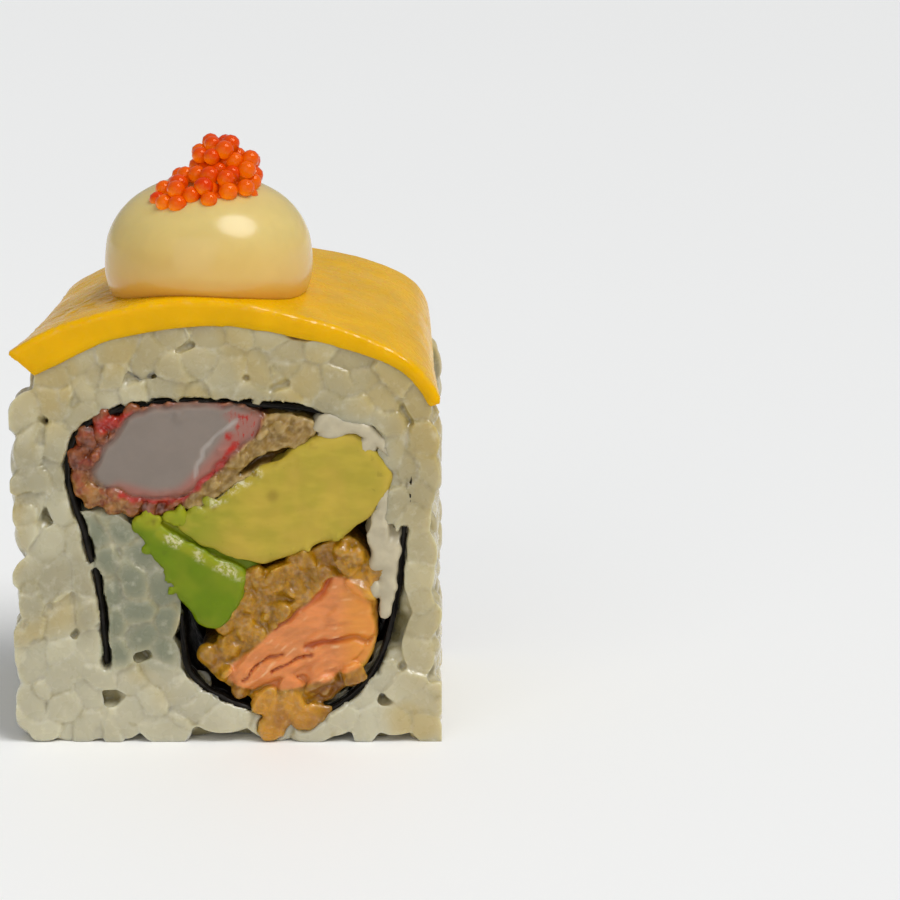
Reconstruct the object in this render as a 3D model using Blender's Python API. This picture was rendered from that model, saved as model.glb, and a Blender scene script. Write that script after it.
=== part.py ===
"""One piece of an inside-out sushi roll: rice outside, a seaweed sheet wound inside it round the
fillings, a fruit slice bent over the top, a dome of sauce on the slice and fish roe on the sauce.

The roll lies on its side, as served. X runs across the cut face, Y runs along the roll from the near
cut to the far cut, and Z is up. The origin is on the board, under the middle of the roll.
Lengths in this file are millimetres until an object is made, which turns them into metres.
"""

import math
import random

import bmesh
import bpy
from mathutils import Matrix, Vector

# Driving dimensions
MM = 0.001
ROLL_LENGTH = 33.0
ROLL_HALF_WIDTH = 22.1
ROLL_HEIGHT = 44.5
CLEARANCE = 0.35
GRAIN = (2.85, 1.6, 1.5)
CUT_GRAIN_GAP = 3.7
SIDE_GRAIN_GAP = 5.0
GRAIN_SINK = (0.3, 0.75)
GRAIN_EDGE_GAP = 0.9
FOOT_GRAINS_LEFT_OUT = 0.6
CRUMB_GAP = 3.2
EGG_RADIUS = 0.95
EGG_GAP = 1.68
NORI_THICKNESS = 0.5

# Places along the roll, for the near cut. The far cut mirrors it.
CUT = ROLL_LENGTH / 2
RICE_RECESS = 1.0
NORI_RECESS = 1.15
FILLING_RECESS = 0.35
CRUST_RECESS = 1.0
FLAKE_RECESS = 0.6
CRUMB_REACH = 0.05
END_BEVEL = 0.3

# Outlines of the cut face, (x, z)
RICE_OUTLINE = [
    (-19.6, 0.3), (-20.9, 3.5), (-20.6, 11), (-21.1, 20), (-20.9, 30), (-20.0, 35.6), (-16.9, 39.3),
    (-11.7, 42.2), (-3.6, 44.4), (4.0, 44.4), (12.0, 43.2), (16.8, 41.2), (19.6, 37.4), (20.8, 30),
    (21.0, 19), (20.8, 9), (20.6, 3), (19.3, 0.3), (0.0, 0.0),
]  # fmt: skip
NORI_PATH = [
    (-12.6, 8.3), (-13.0, 15), (-14.4, 21.5), (-16.2, 28.6), (-14.4, 33.6), (-8.0, 35.9), (0.0, 36.0),
    (8.0, 35.5), (14.6, 34.0), (18.6, 29.3), (18.2, 22.5), (17.5, 15.5), (15.0, 7.4), (9.0, 2.6),
    (2.0, 3.5), (-3.8, 7.1), (-4.9, 13.6),
]  # fmt: skip
INNER_RICE_EDGE = [
    (-5.9, 14.9), (-7.3, 17.6), (-9.0, 20.6), (-10.2, 22.9), (-12.4, 24.1), (-14.2, 24.6),
]  # fmt: skip
INNER_RICE_SIDE = -10.0
INNER_RICE_TOP = 24.2
CRAB_OUTLINE = [
    (-15.4, 28.8), (-14.0, 32.6), (-11.0, 34.5), (-6.0, 35.1), (0.0, 35.1), (5.0, 34.7), (8.3, 34.4),
    (8.2, 32.8), (5.4, 31.3), (1.7, 28.9), (-1.9, 26.3), (-5.2, 24.5), (-9.2, 24.4), (-12.6, 25.2),
    (-14.7, 26.4),
]  # fmt: skip
AVOCADO_OUTLINE = [
    (9.6, 32.3), (13.2, 32.4), (16.9, 28.6), (14.1, 23.9), (9.6, 21.4), (3.1, 19.4), (-2.0, 21.2),
    (-5.0, 23.2), (-1.4, 25.4), (2.2, 28.0), (6.2, 30.5),
]  # fmt: skip
GREEN_AVOCADO_OUTLINE = [
    (-9.0, 22.7), (-7.2, 23.5), (-5.6, 22.3), (-2.6, 20.4), (1.8, 18.3), (1.5, 16.0), (0.2, 13.3),
    (-1.6, 12.2), (-4.4, 15.2), (-6.6, 18.7),
]  # fmt: skip
SALMON_OUTLINE = [
    (3.1, 18.0), (7.0, 19.4), (11.2, 21.6), (13.4, 21.3), (15.0, 18.6), (15.4, 13.0), (15.0, 9.8),
    (12.4, 6.0), (9.0, 3.8), (4.4, 3.9), (0.2, 5.8), (-2.9, 8.9), (-0.1, 11.0), (1.1, 13.4),
    (2.4, 15.9),
]  # fmt: skip
CREAM_INNER_EDGE = [
    (15.9, 13.6), (16.0, 17.2), (15.3, 20.2), (14.6, 22.2), (15.2, 24.1), (17.0, 26.8), (17.6, 28.9),
    (16.2, 31.2), (13.5, 33.0), (9.1, 33.3),
]  # fmt: skip
# The fruit slice at the near cut and at the far cut: top and underside, (x, z)
SLICE_TOP = [
    (-22.1, 41.4), (-19.1, 43.1), (-14.0, 45.1), (-5.6, 46.9), (1.0, 46.7), (7.0, 45.4), (13.0, 43.6),
    (18.0, 41.2), (21.0, 38.3), (22.1, 36.3),
]  # fmt: skip
SLICE_UNDERSIDE = [
    (20.9, 35.6), (19.9, 37.4), (17.5, 39.5), (12.4, 41.5), (4.2, 43.4), (-3.6, 43.9), (-11.9, 42.3),
    (-17.2, 39.9), (-19.4, 38.8),
]  # fmt: skip
FAR_SLICE_TOP = [
    (-18.4, 42.0), (-16.6, 43.2), (-12.2, 45.2), (-4.0, 47.0), (2.5, 47.1), (8.5, 46.3), (14.0, 45.1),
    (18.3, 43.1), (20.3, 40.6), (20.9, 36.9),
]  # fmt: skip
FAR_SLICE_UNDERSIDE = [
    (19.3, 36.4), (18.7, 38.8), (16.7, 41.0), (12.0, 42.9), (4.5, 44.0), (-3.0, 44.0), (-11.0, 42.3),
    (-15.6, 40.3), (-17.2, 39.6),
]  # fmt: skip
# Where the slice covers the outside of the rice: above the shoulder, to the right of its standing end
SHOULDER_HEIGHT = 33.5
SLICE_END = -17.6
# How far the slice has come to its far form: (part of the roll's length, part of the change)
SLICE_STATIONS = [(0.0, 0.0), (0.3, 0.5), (1.0, 1.0)]

# What is bare of crust: the white of the crab stick and the flesh of the salmon, (x, z)
CRAB_FLESH = [
    (-9.6, 34.0), (0.4, 34.0), (1.4, 32.2), (-1.6, 29.4), (-4.0, 26.9), (-9.5, 26.8), (-13.6, 28.9),
]  # fmt: skip
SALMON_FLESH = [
    (10.4, 17.4), (14.0, 18.0), (15.2, 12.0), (12.6, 8.4), (6.0, 7.0), (1.2, 5.9), (0.4, 7.2),
    (3.2, 10.6), (6.0, 14.2),
]  # fmt: skip
LOOSE_CRUST = [(3.9, 4.2), (5.0, 2.7), (6.6, 3.9), (4.4, 1.6), (7.8, 2.7)]
LOOSE_CRUST_RADII = (1.9, 0.38, 1.4)
LOOSE_CRUST_ROOM = 2.4

# The dome of sauce: (radius, height) from its top to its foot, and its middle on the slice
DOME_RADIUS = 10.9
DOME_HEIGHT = 10.6
DOME_PROFILE = [
    (0.0, DOME_HEIGHT), (3.6, 10.1), (6.5, 8.8), (8.3, 7.2), (9.7, 5.2), (10.5, 3.4), (DOME_RADIUS, 1.9),
    (10.6, 0.7), (9.8, 0.0),
]  # fmt: skip
DOME_MIDDLE = (-2.0, -5.4)
DOME_SIDES = 18
FOOT_RINGS = (7.5, 5.0, 2.5, 0.0)
FOOT_GAP = 0.05
DOME_STIFFNESS = 0.75

# The roe heap: middles and radii of its lumps, with heights over the dome's top. As parts of those
# radii: the core, the eggs' middles, and how deep in another lump an egg is left out.
CORE_LEVEL = 0.86
EGG_LEVEL = 0.93
EGG_DEPTH = 0.84
ROE_LUMPS = [
    ((-1.2, -7.9, -1.2), (5.0, 4.6, 1.9)),
    ((-1.2, -6.0, 1.5), (2.3, 2.2, 2.4)),
    ((-4.9, -8.8, -1.6), (2.5, 3.1, 1.9)),
    ((1.3, -6.6, 0.3), (1.9, 2.0, 1.9)),
]


def clear_scene():
    for obj in list(bpy.data.objects):
        bpy.data.objects.remove(obj, do_unlink=True)


def food_material(name, colour, roughness):
    material = bpy.data.materials.new(name)
    material.use_nodes = True
    shader = material.node_tree.nodes["Principled BSDF"]
    shader.inputs["Base Color"].default_value = (*colour, 1.0)
    shader.inputs["Roughness"].default_value = roughness
    shader.inputs["Metallic"].default_value = 0.0
    return material


def make_object(name, bm, material=None):
    """Turns a bmesh in millimetres into an object in metres."""
    bmesh.ops.scale(bm, vec=(MM, MM, MM), verts=bm.verts)
    mesh = bpy.data.meshes.new(name)
    bm.to_mesh(mesh)
    bm.free()
    if material:
        mesh.materials.append(material)
    obj = bpy.data.objects.new(name, mesh)
    bpy.context.scene.collection.objects.link(obj)
    return obj


def spline_point(a, b, c, d, t):
    """The point at t on the smooth span from b to c, with a and d as its neighbours."""
    return 0.5 * (2 * b + (c - a) * t + (2 * a - 5 * b + 4 * c - d) * t * t + (3 * b - a - 3 * c + d) * t**3)


def smooth_line(points, per_span):
    """An open smooth curve through the points."""
    p = [Vector(q) for q in points]
    ends = [2 * p[0] - p[1], *p, 2 * p[-1] - p[-2]]
    line = [
        spline_point(*ends[i : i + 4], k / per_span) for i in range(len(p) - 1) for k in range(per_span)
    ]
    return line + [p[-1]]


def smooth_loop(points, per_span):
    """A closed smooth curve through the points."""
    p = [Vector(q) for q in points]
    n = len(p)
    return [
        spline_point(p[i - 1], p[i], p[(i + 1) % n], p[(i + 2) % n], k / per_span)
        for i in range(n)
        for k in range(per_span)
    ]


def offset_line(line, distance):
    """The line moved sideways, to the left of the way it runs."""
    moved = []
    for i, point in enumerate(line):
        along = (line[min(i + 1, len(line) - 1)] - line[max(i - 1, 0)]).normalized()
        moved.append(point + distance * Vector((-along.y, along.x)))
    return moved


def inside(point, loop):
    """Whether a point (x, z) lies inside a closed loop."""
    found = False
    for a, b in zip(loop, loop[1:] + loop[:1]):
        if (a[1] > point[1]) != (b[1] > point[1]):
            if point[0] < a[0] + (point[1] - a[1]) * (b[0] - a[0]) / (b[1] - a[1]):
                found = not found
    return found


def distance_to(point, loop):
    """Distance from a point (x, z) to the nearest corner of a loop with close corners."""
    return min(math.hypot(point[0] - q[0], point[1] - q[1]) for q in loop)


def loft(sections):
    """A closed solid through sections (y, outline) whose outlines (x, z) have matching corners."""
    bm = bmesh.new()
    rings = [[bm.verts.new((p[0], y, p[1])) for p in outline] for y, outline in sections]
    for near, far in zip(rings, rings[1:]):
        for k in range(len(near)):
            bm.faces.new((near[k - 1], near[k], far[k], far[k - 1]))
    bm.faces.new(rings[0])
    bm.faces.new(rings[-1])
    bmesh.ops.recalc_face_normals(bm, faces=bm.faces)
    return bm


def prism(outline, near, far):
    """A closed solid: the outline (x, z) filled, from Y near to Y far."""
    return loft([(near, outline), (far, outline)])


def bevel_ends(bm):
    """Takes the knife's sharp edge off both ends of a slice."""
    reach = max(v.co.y for v in bm.verts)
    rims = [e for e in bm.edges if all(abs(abs(v.co.y) - reach) < 1e-4 for v in e.verts)]
    bmesh.ops.bevel(
        bm, geom=rims, offset=END_BEVEL, segments=1, profile=0.5, affect="EDGES", material=-1
    )


def through_roll(outline, recess):
    """A filling that runs through the roll and ends a little behind both cuts."""
    return prism(outline, recess - CUT, CUT - recess)


def ellipsoid(middle, radii, turn, sides=0):
    """A low faceted ellipsoid: 20 faces, or a ball of rings when sides is given."""
    bm = bmesh.new()
    if sides:
        bmesh.ops.create_uvsphere(bm, u_segments=sides, v_segments=sides - 2, radius=1.0)
    else:
        bmesh.ops.create_icosphere(bm, subdivisions=1, radius=1.0)
    placed = Matrix.Translation(middle) @ turn.to_4x4() @ Matrix.Diagonal((*radii, 1.0))
    bmesh.ops.transform(bm, matrix=placed, verts=bm.verts)
    return bm


def turned(along, normal):
    """A rotation that takes X to along and Z to normal."""
    x = Vector(along).normalized()
    z = (Vector(normal) - x * x.dot(Vector(normal))).normalized()
    return Matrix((x, z.cross(x), z)).transposed()


def keep_largest_body(obj):
    """Drops the loose scraps and sealed hollows that joining small pieces leaves."""
    bm = bmesh.new()
    bm.from_mesh(obj.data)
    waiting = set(bm.verts)
    bodies = []
    while waiting:
        body = {waiting.pop()}
        edge_of_search = set(body)
        while edge_of_search:
            found = {e.other_vert(v) for v in edge_of_search for e in v.link_edges} - body
            body |= found
            edge_of_search = found
        waiting -= body
        bodies.append(body)
    bodies.sort(key=len)
    loose = [v for body in bodies[:-1] for v in body]
    bmesh.ops.delete(bm, geom=loose, context="VERTS")
    bm.to_mesh(obj.data)
    bm.free()


def boolean(obj, operation, others):
    """Joins or cuts obj with every object of the list in one Boolean, and removes those objects."""
    helpers = bpy.data.collections.new("helpers")
    bpy.context.scene.collection.children.link(helpers)
    for other in others:
        bpy.context.scene.collection.objects.unlink(other)
        helpers.objects.link(other)
    modifier = obj.modifiers.new(operation.lower(), "BOOLEAN")
    modifier.operation = operation
    modifier.operand_type = "COLLECTION"
    modifier.collection = helpers
    graph = bpy.context.evaluated_depsgraph_get()
    mesh = bpy.data.meshes.new_from_object(obj.evaluated_get(graph))
    obj.modifiers.clear()
    obj.data = mesh
    for other in others:
        bpy.data.objects.remove(other, do_unlink=True)
    bpy.data.collections.remove(helpers)


def cut_planes():
    """The block that the knife and the board leave: a flat cut at each end and a flat foot."""
    wide = [(-ROLL_HALF_WIDTH, 0), (ROLL_HALF_WIDTH, 0), (ROLL_HALF_WIDTH, 60), (-ROLL_HALF_WIDTH, 60)]
    return make_object("cut_planes", prism(wide, -CUT, CUT))


def spaced(draw, count, gap, seed):
    """Points from draw(rng), dropped where one comes nearer than gap to an earlier one."""
    rng = random.Random(seed)
    kept = []
    for _ in range(count):
        spot = draw(rng)
        if spot and all((spot[0] - other[0]).length > gap for other in kept):
            kept.append(spot)
    return kept


def rice_cavity():
    """The loop (x, z) that the rice leaves free: the fillings, and the slot of the seaweed sheet."""
    path = smooth_line(NORI_PATH, 4)
    half_slot = NORI_THICKNESS / 2 + CLEARANCE
    outer = offset_line(path, half_slot)
    inner = offset_line(path, -half_slot)
    first_rise = [p for p in inner if p.x < INNER_RICE_SIDE and p.y < INNER_RICE_TOP]
    foot = path[0] - Vector((0.0, CLEARANCE))
    tip = path[-1] + Vector((-half_slot, half_slot))
    return outer + [tip] + smooth_line(INNER_RICE_EDGE, 3) + first_rise[::-1] + [foot]


def grain(middle, along, normal, rng):
    """One cooked rice grain, a little uneven in size."""
    size = rng.uniform(0.9, 1.08)
    radii = [r * size * rng.uniform(0.95, 1.05) for r in GRAIN]
    return make_object("grain", ellipsoid(middle, radii, turned(along, normal)))


def grains_on_cut(outline, cavity, side, seed):
    """Grains on one cut face, where there is rice and no loose crust."""

    def draw(rng):
        x, z = rng.uniform(-ROLL_HALF_WIDTH, ROLL_HALF_WIDTH), rng.uniform(0, ROLL_HEIGHT)
        on_rice = inside((x, z), outline) and not inside((x, z), cavity)
        if not on_rice or distance_to((x, z), cavity) < GRAIN_EDGE_GAP:
            return None
        if side < 0 and min(math.hypot(x - a, z - b) for a, b in LOOSE_CRUST) < LOOSE_CRUST_ROOM:
            return None
        depth = CUT - RICE_RECESS - rng.uniform(*GRAIN_SINK)
        return Vector((x, side * depth, z)), rng.uniform(0, math.pi), rng.uniform(-0.5, 0.5)

    grains = []
    rng = random.Random(seed + 1)
    for middle, angle, tip in spaced(draw, 2600, CUT_GRAIN_GAP, seed):
        along = (math.cos(angle), tip, math.sin(angle))
        grains.append(grain(middle, along, (0, side, 0), rng))
    return grains


def grains_on_side(outline, seed):
    """Grains on the outside of the roll, apart from what the fruit slice covers."""
    corners = smooth_loop(RICE_OUTLINE, 12)
    count = len(corners)

    def draw(rng):
        i = rng.randrange(count)
        point = corners[i]
        y = rng.uniform(-CUT + 2.0, CUT - 2.0)
        if point.y > SHOULDER_HEIGHT and point.x > SLICE_END:
            return None
        if point.y < 1.0 and rng.random() < FOOT_GRAINS_LEFT_OUT:
            return None
        tangent = (corners[(i + 1) % count] - corners[i - 1]).normalized()
        normal = Vector((-tangent.y, 0, tangent.x))
        if normal.dot(Vector((point.x, 0, point.y - 20))) < 0:
            normal.negate()
        sink = rng.uniform(*GRAIN_SINK)
        middle = Vector((point.x, y, point.y)) - normal * sink
        angle = rng.uniform(0, math.pi)
        along = math.cos(angle) * Vector((tangent.x, 0, tangent.y)) + math.sin(angle) * Vector((0, 1, 0))
        return middle, along, normal

    rng = random.Random(seed + 1)
    spots = spaced(draw, 3400, SIDE_GRAIN_GAP, seed)
    return [grain(middle, along, normal, rng) for middle, along, normal in spots]


def make_rice(material):
    """The outer rice with the tucked-in end of its sheet, as one body with the grains that show."""
    outline = smooth_loop(RICE_OUTLINE, 3)
    cavity = rice_cavity()
    rice = make_object("rice", through_roll(outline, RICE_RECESS), material)
    grains = grains_on_cut(outline, cavity, -1, 11) + grains_on_cut(outline, cavity, 1, 23)
    grains += grains_on_side(outline, 37)
    boolean(rice, "UNION", grains)
    boolean(rice, "DIFFERENCE", [make_object("cavity", prism(cavity, -CUT - 2, CUT + 2))])
    boolean(rice, "DIFFERENCE", [slice_room()])
    boolean(rice, "DIFFERENCE", loose_crust(CLEARANCE))
    boolean(rice, "INTERSECT", [cut_planes()])
    keep_largest_body(rice)
    return rice


def make_nori(material):
    """The seaweed sheet: one thin band wound round the fillings, with ragged cut edges."""
    path = smooth_line(NORI_PATH, 3)
    half = NORI_THICKNESS / 2
    bm = bmesh.new()
    rng = random.Random(5)
    rings = []
    for outer, inner in zip(offset_line(path, half), offset_line(path, -half)):
        near = -CUT + NORI_RECESS + rng.uniform(0, 0.5)
        far = CUT - NORI_RECESS - rng.uniform(0, 0.5)
        corners = [(outer, near), (outer, far), (inner, far), (inner, near)]
        rings.append([bm.verts.new((p.x, y, p.y)) for p, y in corners])
    for a, b in zip(rings, rings[1:]):
        for k in range(4):
            bm.faces.new((a[k], a[(k + 1) % 4], b[(k + 1) % 4], b[k]))
    bm.faces.new(rings[0])
    bm.faces.new(rings[-1])
    bmesh.ops.recalc_face_normals(bm, faces=bm.faces)
    return make_object("nori", bm, material)


def crumbs_on_cut(outline, bare, side, seed):
    """Nuggets of crust on one cut face of a fried filling, outside its bare flesh."""
    xs = [p[0] for p in outline]
    zs = [p[1] for p in outline]

    def draw(rng):
        x, z = rng.uniform(min(xs), max(xs)), rng.uniform(min(zs), max(zs))
        if not inside((x, z), outline) or inside((x, z), bare) or distance_to((x, z), outline) < 0.95:
            return None
        return Vector((x, 0, z)), rng.uniform(0, math.pi)

    rng = random.Random(seed + 1)
    nuggets = []
    for middle, angle in spaced(draw, 1500, CRUMB_GAP, seed):
        room = distance_to((middle.x, middle.z), outline) - 0.05
        thickness = rng.uniform(0.7, 0.95)
        radii = [min(room, rng.uniform(1.1, 1.7)), min(room, rng.uniform(0.9, 1.25)), thickness]
        middle.y = side * (CUT - CRUMB_REACH - thickness - rng.uniform(0, 0.35))
        turn = turned((math.cos(angle), 0, math.sin(angle)), (0, side, 0))
        nuggets.append(make_object("crumb", ellipsoid(middle, radii, turn)))
    return nuggets


def loose_crust(grown):
    """The torn bit of crust that hangs over the near cut below the salmon, grown outwards a little."""
    radii = [r + grown for r in LOOSE_CRUST_RADII]
    bits = []
    for k, (x, z) in enumerate(LOOSE_CRUST):
        turn = Matrix.Rotation(0.7 * k, 3, "Y")
        bits.append(make_object("crust_bit", ellipsoid((x, -CUT + 0.35, z), radii, turn, 6)))
    return bits


def flakes_on_cut(side):
    """The curved flakes of the salmon flesh, as low ridges side by side."""
    flakes = []
    for k in range(5):
        t = k / 4
        height = 7.6 + 6.4 * t - 1.6 * math.sin(math.pi * t)
        middle = Vector((3.6 + 8.4 * t, side * (CUT - FLAKE_RECESS - 0.1), height))
        slope = math.radians(12 + 22 * t)
        radii = (3.0 - 0.3 * abs(2 * t - 1), 1.15, 0.55 + 0.12 * (k % 2))
        turn = turned((math.cos(slope), 0, math.sin(slope)), (0, side, 0))
        flakes.append(make_object("flake", ellipsoid(middle, radii, turn, 6)))
    return flakes


def make_crab_stick(material):
    """The fried crab stick: a smooth core, with crumbs standing out of the crust round it."""
    outline = smooth_loop(CRAB_OUTLINE, 2)
    crab = make_object("crab_stick", through_roll(outline, CRUST_RECESS), material)
    relief = [make_object("flesh", through_roll(smooth_loop(CRAB_FLESH, 2), FILLING_RECESS))]
    for side, seed in ((-1, 41), (1, 43)):
        relief += crumbs_on_cut(outline, CRAB_FLESH, side, seed)
    boolean(crab, "UNION", relief)
    keep_largest_body(crab)
    return crab


def make_salmon(material):
    """The fried salmon: flaky flesh in a craggy crust, with a torn bit of crust over the near cut."""
    outline = smooth_loop(SALMON_OUTLINE, 2)
    salmon = make_object("salmon_tempura", through_roll(outline, CRUST_RECESS), material)
    relief = [make_object("flesh", through_roll(smooth_loop(SALMON_FLESH, 1), FLAKE_RECESS))]
    for side, seed in ((-1, 51), (1, 53)):
        relief += crumbs_on_cut(outline, SALMON_FLESH, side, seed)
        relief += flakes_on_cut(side)
    boolean(salmon, "UNION", relief + loose_crust(0.0))
    keep_largest_body(salmon)
    return salmon


def make_avocado(name, outline, material):
    """A slice of avocado, with its near and far edges rounded by the knife."""
    bm = through_roll(smooth_loop(outline, 2), FILLING_RECESS)
    bevel_ends(bm)
    return make_object(name, bm, material)


def make_cream_cheese(material):
    """The cream cheese, squeezed between the seaweed sheet and the fillings."""
    path = smooth_line(NORI_PATH, 4)
    left, foot = CREAM_INNER_EDGE[-1][0], CREAM_INNER_EDGE[0][1]
    lining = [p for p in offset_line(path, -NORI_THICKNESS / 2 - CLEARANCE) if p.x > left and p.y > foot]
    outline = lining + smooth_line(CREAM_INNER_EDGE, 2)
    return make_object("cream_cheese", through_roll(outline, FILLING_RECESS), material)


def slice_change(y):
    """How far the slice has changed to its far form at y, from 0 to 1."""
    part = min(1.0, max(0.0, (y + CUT) / ROLL_LENGTH))
    for (a, from_change), (b, to_change) in zip(SLICE_STATIONS, SLICE_STATIONS[1:]):
        if part <= b:
            return from_change + (to_change - from_change) * (part - a) / (b - a)
    return 1.0


def slice_line(near_points, far_points, y):
    """One line of the slice's section, (x, z), where the section stands at y."""
    change = slice_change(y)
    return smooth_line([Vector(a).lerp(Vector(b), change) for a, b in zip(near_points, far_points)], 3)


def make_fruit_slice(material):
    """The mango slice, bent over the roll, with its near left tip standing out straight."""
    sections = []
    for part, _ in SLICE_STATIONS:
        y = -CUT + part * ROLL_LENGTH
        top = slice_line(SLICE_TOP, FAR_SLICE_TOP, y)
        sections.append((y, top + slice_line(SLICE_UNDERSIDE, FAR_SLICE_UNDERSIDE, y)))
    bm = loft(sections)
    bevel_ends(bm)
    return make_object("mango_slice", bm, material)


def slice_room():
    """All that lies above the slice's underside, a little lowered, so that the rice stays clear of it."""
    beside = [Vector(p) for p in ((-26, 38.2), (-26, 55), (26, 55), (26, 34.4), (22.2, 34.4))]
    sections = []
    for y in (-CUT - 2, -CUT + SLICE_STATIONS[1][0] * ROLL_LENGTH, CUT + 2):
        underside = slice_line(SLICE_UNDERSIDE, FAR_SLICE_UNDERSIDE, y)
        sections.append((y, offset_line(underside, CLEARANCE) + beside))
    return make_object("slice_room", loft(sections))


def slice_top_height(x, y):
    """Height of the fruit slice's top face over the board."""
    line = slice_line(SLICE_TOP, FAR_SLICE_TOP, y)
    for a, b in zip(line, line[1:]):
        if a.x <= x <= b.x:
            return a.y + (b.y - a.y) * (x - a.x) / (b.x - a.x)
    return line[0].y if x < line[0].x else line[-1].y


def dome(grown):
    """The dome of sauce, turned from its profile and settled on the slice, grown outwards a little."""
    wider, higher = 1 + grown / DOME_RADIUS, 1 + grown / DOME_HEIGHT
    bm = bmesh.new()
    verts = [bm.verts.new((r * wider, 0, h * higher)) for r, h in smooth_line(DOME_PROFILE, 2)]
    verts += [bm.verts.new((r, 0, 0)) for r in FOOT_RINGS]
    edges = [bm.edges.new(pair) for pair in zip(verts, verts[1:])]
    turn = {"cent": (0, 0, 0), "axis": (0, 0, 1), "angle": math.tau, "steps": DOME_SIDES}
    bmesh.ops.spin(bm, geom=verts + edges, use_merge=True, **turn)
    bmesh.ops.remove_doubles(bm, verts=bm.verts, dist=1e-4)
    bmesh.ops.recalc_face_normals(bm, faces=bm.faces)
    bmesh.ops.translate(bm, vec=(*DOME_MIDDLE, 0), verts=bm.verts)
    peak = slice_top_height(*DOME_MIDDLE)
    for v in bm.verts:
        settle = 1 - DOME_STIFFNESS * min(1.0, max(0.0, v.co.z / DOME_HEIGHT))
        level = slice_top_height(v.co.x, v.co.y)
        v.co.z += peak + (level - peak) * settle + CLEARANCE + FOOT_GAP
    return bm


def make_dollop(material):
    obj = make_object("mayonnaise_dollop", dome(0.0), material)
    obj.data.shade_smooth()
    return obj


def make_roe(material):
    """The heap of roe: a lumpy core with the eggs that show fused on, resting on the dome."""
    top = slice_top_height(*DOME_MIDDLE) + CLEARANCE + DOME_HEIGHT
    level = Matrix.Identity(3)
    lumps = [(Vector(m) + Vector((0, 0, top)), Vector(r)) for m, r in ROE_LUMPS]
    cores = [make_object("lump", ellipsoid(m, r * CORE_LEVEL, level, 8)) for m, r in lumps]
    roe = cores.pop(0)
    roe.name = "flying_fish_roe"
    roe.data.materials.append(material)

    def draw(rng):
        middle, radii = lumps[rng.randrange(len(lumps))]
        way = Vector((rng.gauss(0, 1), rng.gauss(0, 1), rng.gauss(0, 1))).normalized()
        spot = middle + Vector([way[k] * radii[k] for k in range(3)]) * EGG_LEVEL
        depths = [Vector([(spot - m)[k] / r[k] for k in range(3)]).length for m, r in lumps]
        return None if min(depths) < EGG_DEPTH else (spot,)

    eggs = [
        make_object("egg", ellipsoid(spot, [EGG_RADIUS] * 3, level, 6))
        for (spot,) in spaced(draw, 1800, EGG_GAP, 71)
    ]
    boolean(roe, "UNION", cores + eggs)
    boolean(roe, "DIFFERENCE", [make_object("dome_room", dome(CLEARANCE + 0.1))])
    keep_largest_body(roe)
    return roe


def main():
    clear_scene()
    make_rice(food_material("rice", (0.72, 0.69, 0.58), 0.35))
    make_nori(food_material("nori", (0.02, 0.022, 0.014), 0.5))
    make_crab_stick(food_material("crab_stick", (0.62, 0.52, 0.46), 0.4))
    make_avocado("avocado_slice", AVOCADO_OUTLINE, food_material("avocado", (0.55, 0.5, 0.12), 0.4))
    green = food_material("avocado_green", (0.28, 0.4, 0.04), 0.4)
    make_avocado("avocado_green_slice", GREEN_AVOCADO_OUTLINE, green)
    make_cream_cheese(food_material("cream_cheese", (0.75, 0.72, 0.64), 0.4))
    make_salmon(food_material("salmon_tempura", (0.72, 0.33, 0.14), 0.45))
    make_fruit_slice(food_material("mango", (0.8, 0.42, 0.01), 0.3))
    make_dollop(food_material("mayonnaise", (0.76, 0.66, 0.36), 0.2))
    make_roe(food_material("roe", (0.85, 0.16, 0.01), 0.15))


main()
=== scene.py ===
"""Dresses the uramaki roll: sticky rice, seaweed, fried crab stick, avocado, cream cheese, salmon
tempura, a mango slice, a dome of mayonnaise and flying fish roe, on a pale studio floor.

Every piece takes its place from the solid that it stands for. Pieces are modelled in millimetres and
scaled to metres when they are finished. X runs across the cut face, Y along the roll, Z is up.
"""

import math
import random
from functools import partial

import bmesh
import bpy
import numpy as np
from mathutils import Matrix, Vector, noise
from mathutils.bvhtree import BVHTree


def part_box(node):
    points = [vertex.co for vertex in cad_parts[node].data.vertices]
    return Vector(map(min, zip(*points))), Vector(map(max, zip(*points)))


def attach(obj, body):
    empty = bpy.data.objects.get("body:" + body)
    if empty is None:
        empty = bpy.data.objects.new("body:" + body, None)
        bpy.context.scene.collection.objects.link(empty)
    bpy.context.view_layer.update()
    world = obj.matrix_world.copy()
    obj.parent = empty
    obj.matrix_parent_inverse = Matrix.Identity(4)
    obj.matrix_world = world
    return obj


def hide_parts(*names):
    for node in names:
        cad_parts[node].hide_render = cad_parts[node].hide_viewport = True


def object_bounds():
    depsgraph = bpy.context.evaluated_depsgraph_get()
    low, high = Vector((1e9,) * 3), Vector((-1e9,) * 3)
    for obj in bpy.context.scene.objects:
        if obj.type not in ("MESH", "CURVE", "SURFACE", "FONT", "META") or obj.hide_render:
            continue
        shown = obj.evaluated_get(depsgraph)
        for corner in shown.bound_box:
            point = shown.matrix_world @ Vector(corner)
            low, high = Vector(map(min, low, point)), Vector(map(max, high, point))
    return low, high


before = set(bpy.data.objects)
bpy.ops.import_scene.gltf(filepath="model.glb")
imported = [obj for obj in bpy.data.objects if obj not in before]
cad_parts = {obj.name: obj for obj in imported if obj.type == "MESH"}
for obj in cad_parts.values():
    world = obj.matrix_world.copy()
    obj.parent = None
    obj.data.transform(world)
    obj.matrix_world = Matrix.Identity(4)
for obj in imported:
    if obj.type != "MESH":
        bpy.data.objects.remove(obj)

bl_info = {
    "name": "Uramaki Roll",
    "version": (1, 0, 0),
    "blender": (4, 5, 0),
    "location": "View3D > Sidebar > Uramaki",
    "description": "Dresses one piece of inside-out sushi roll with its rice, fillings and toppings",
    "category": "Object",
}

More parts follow.
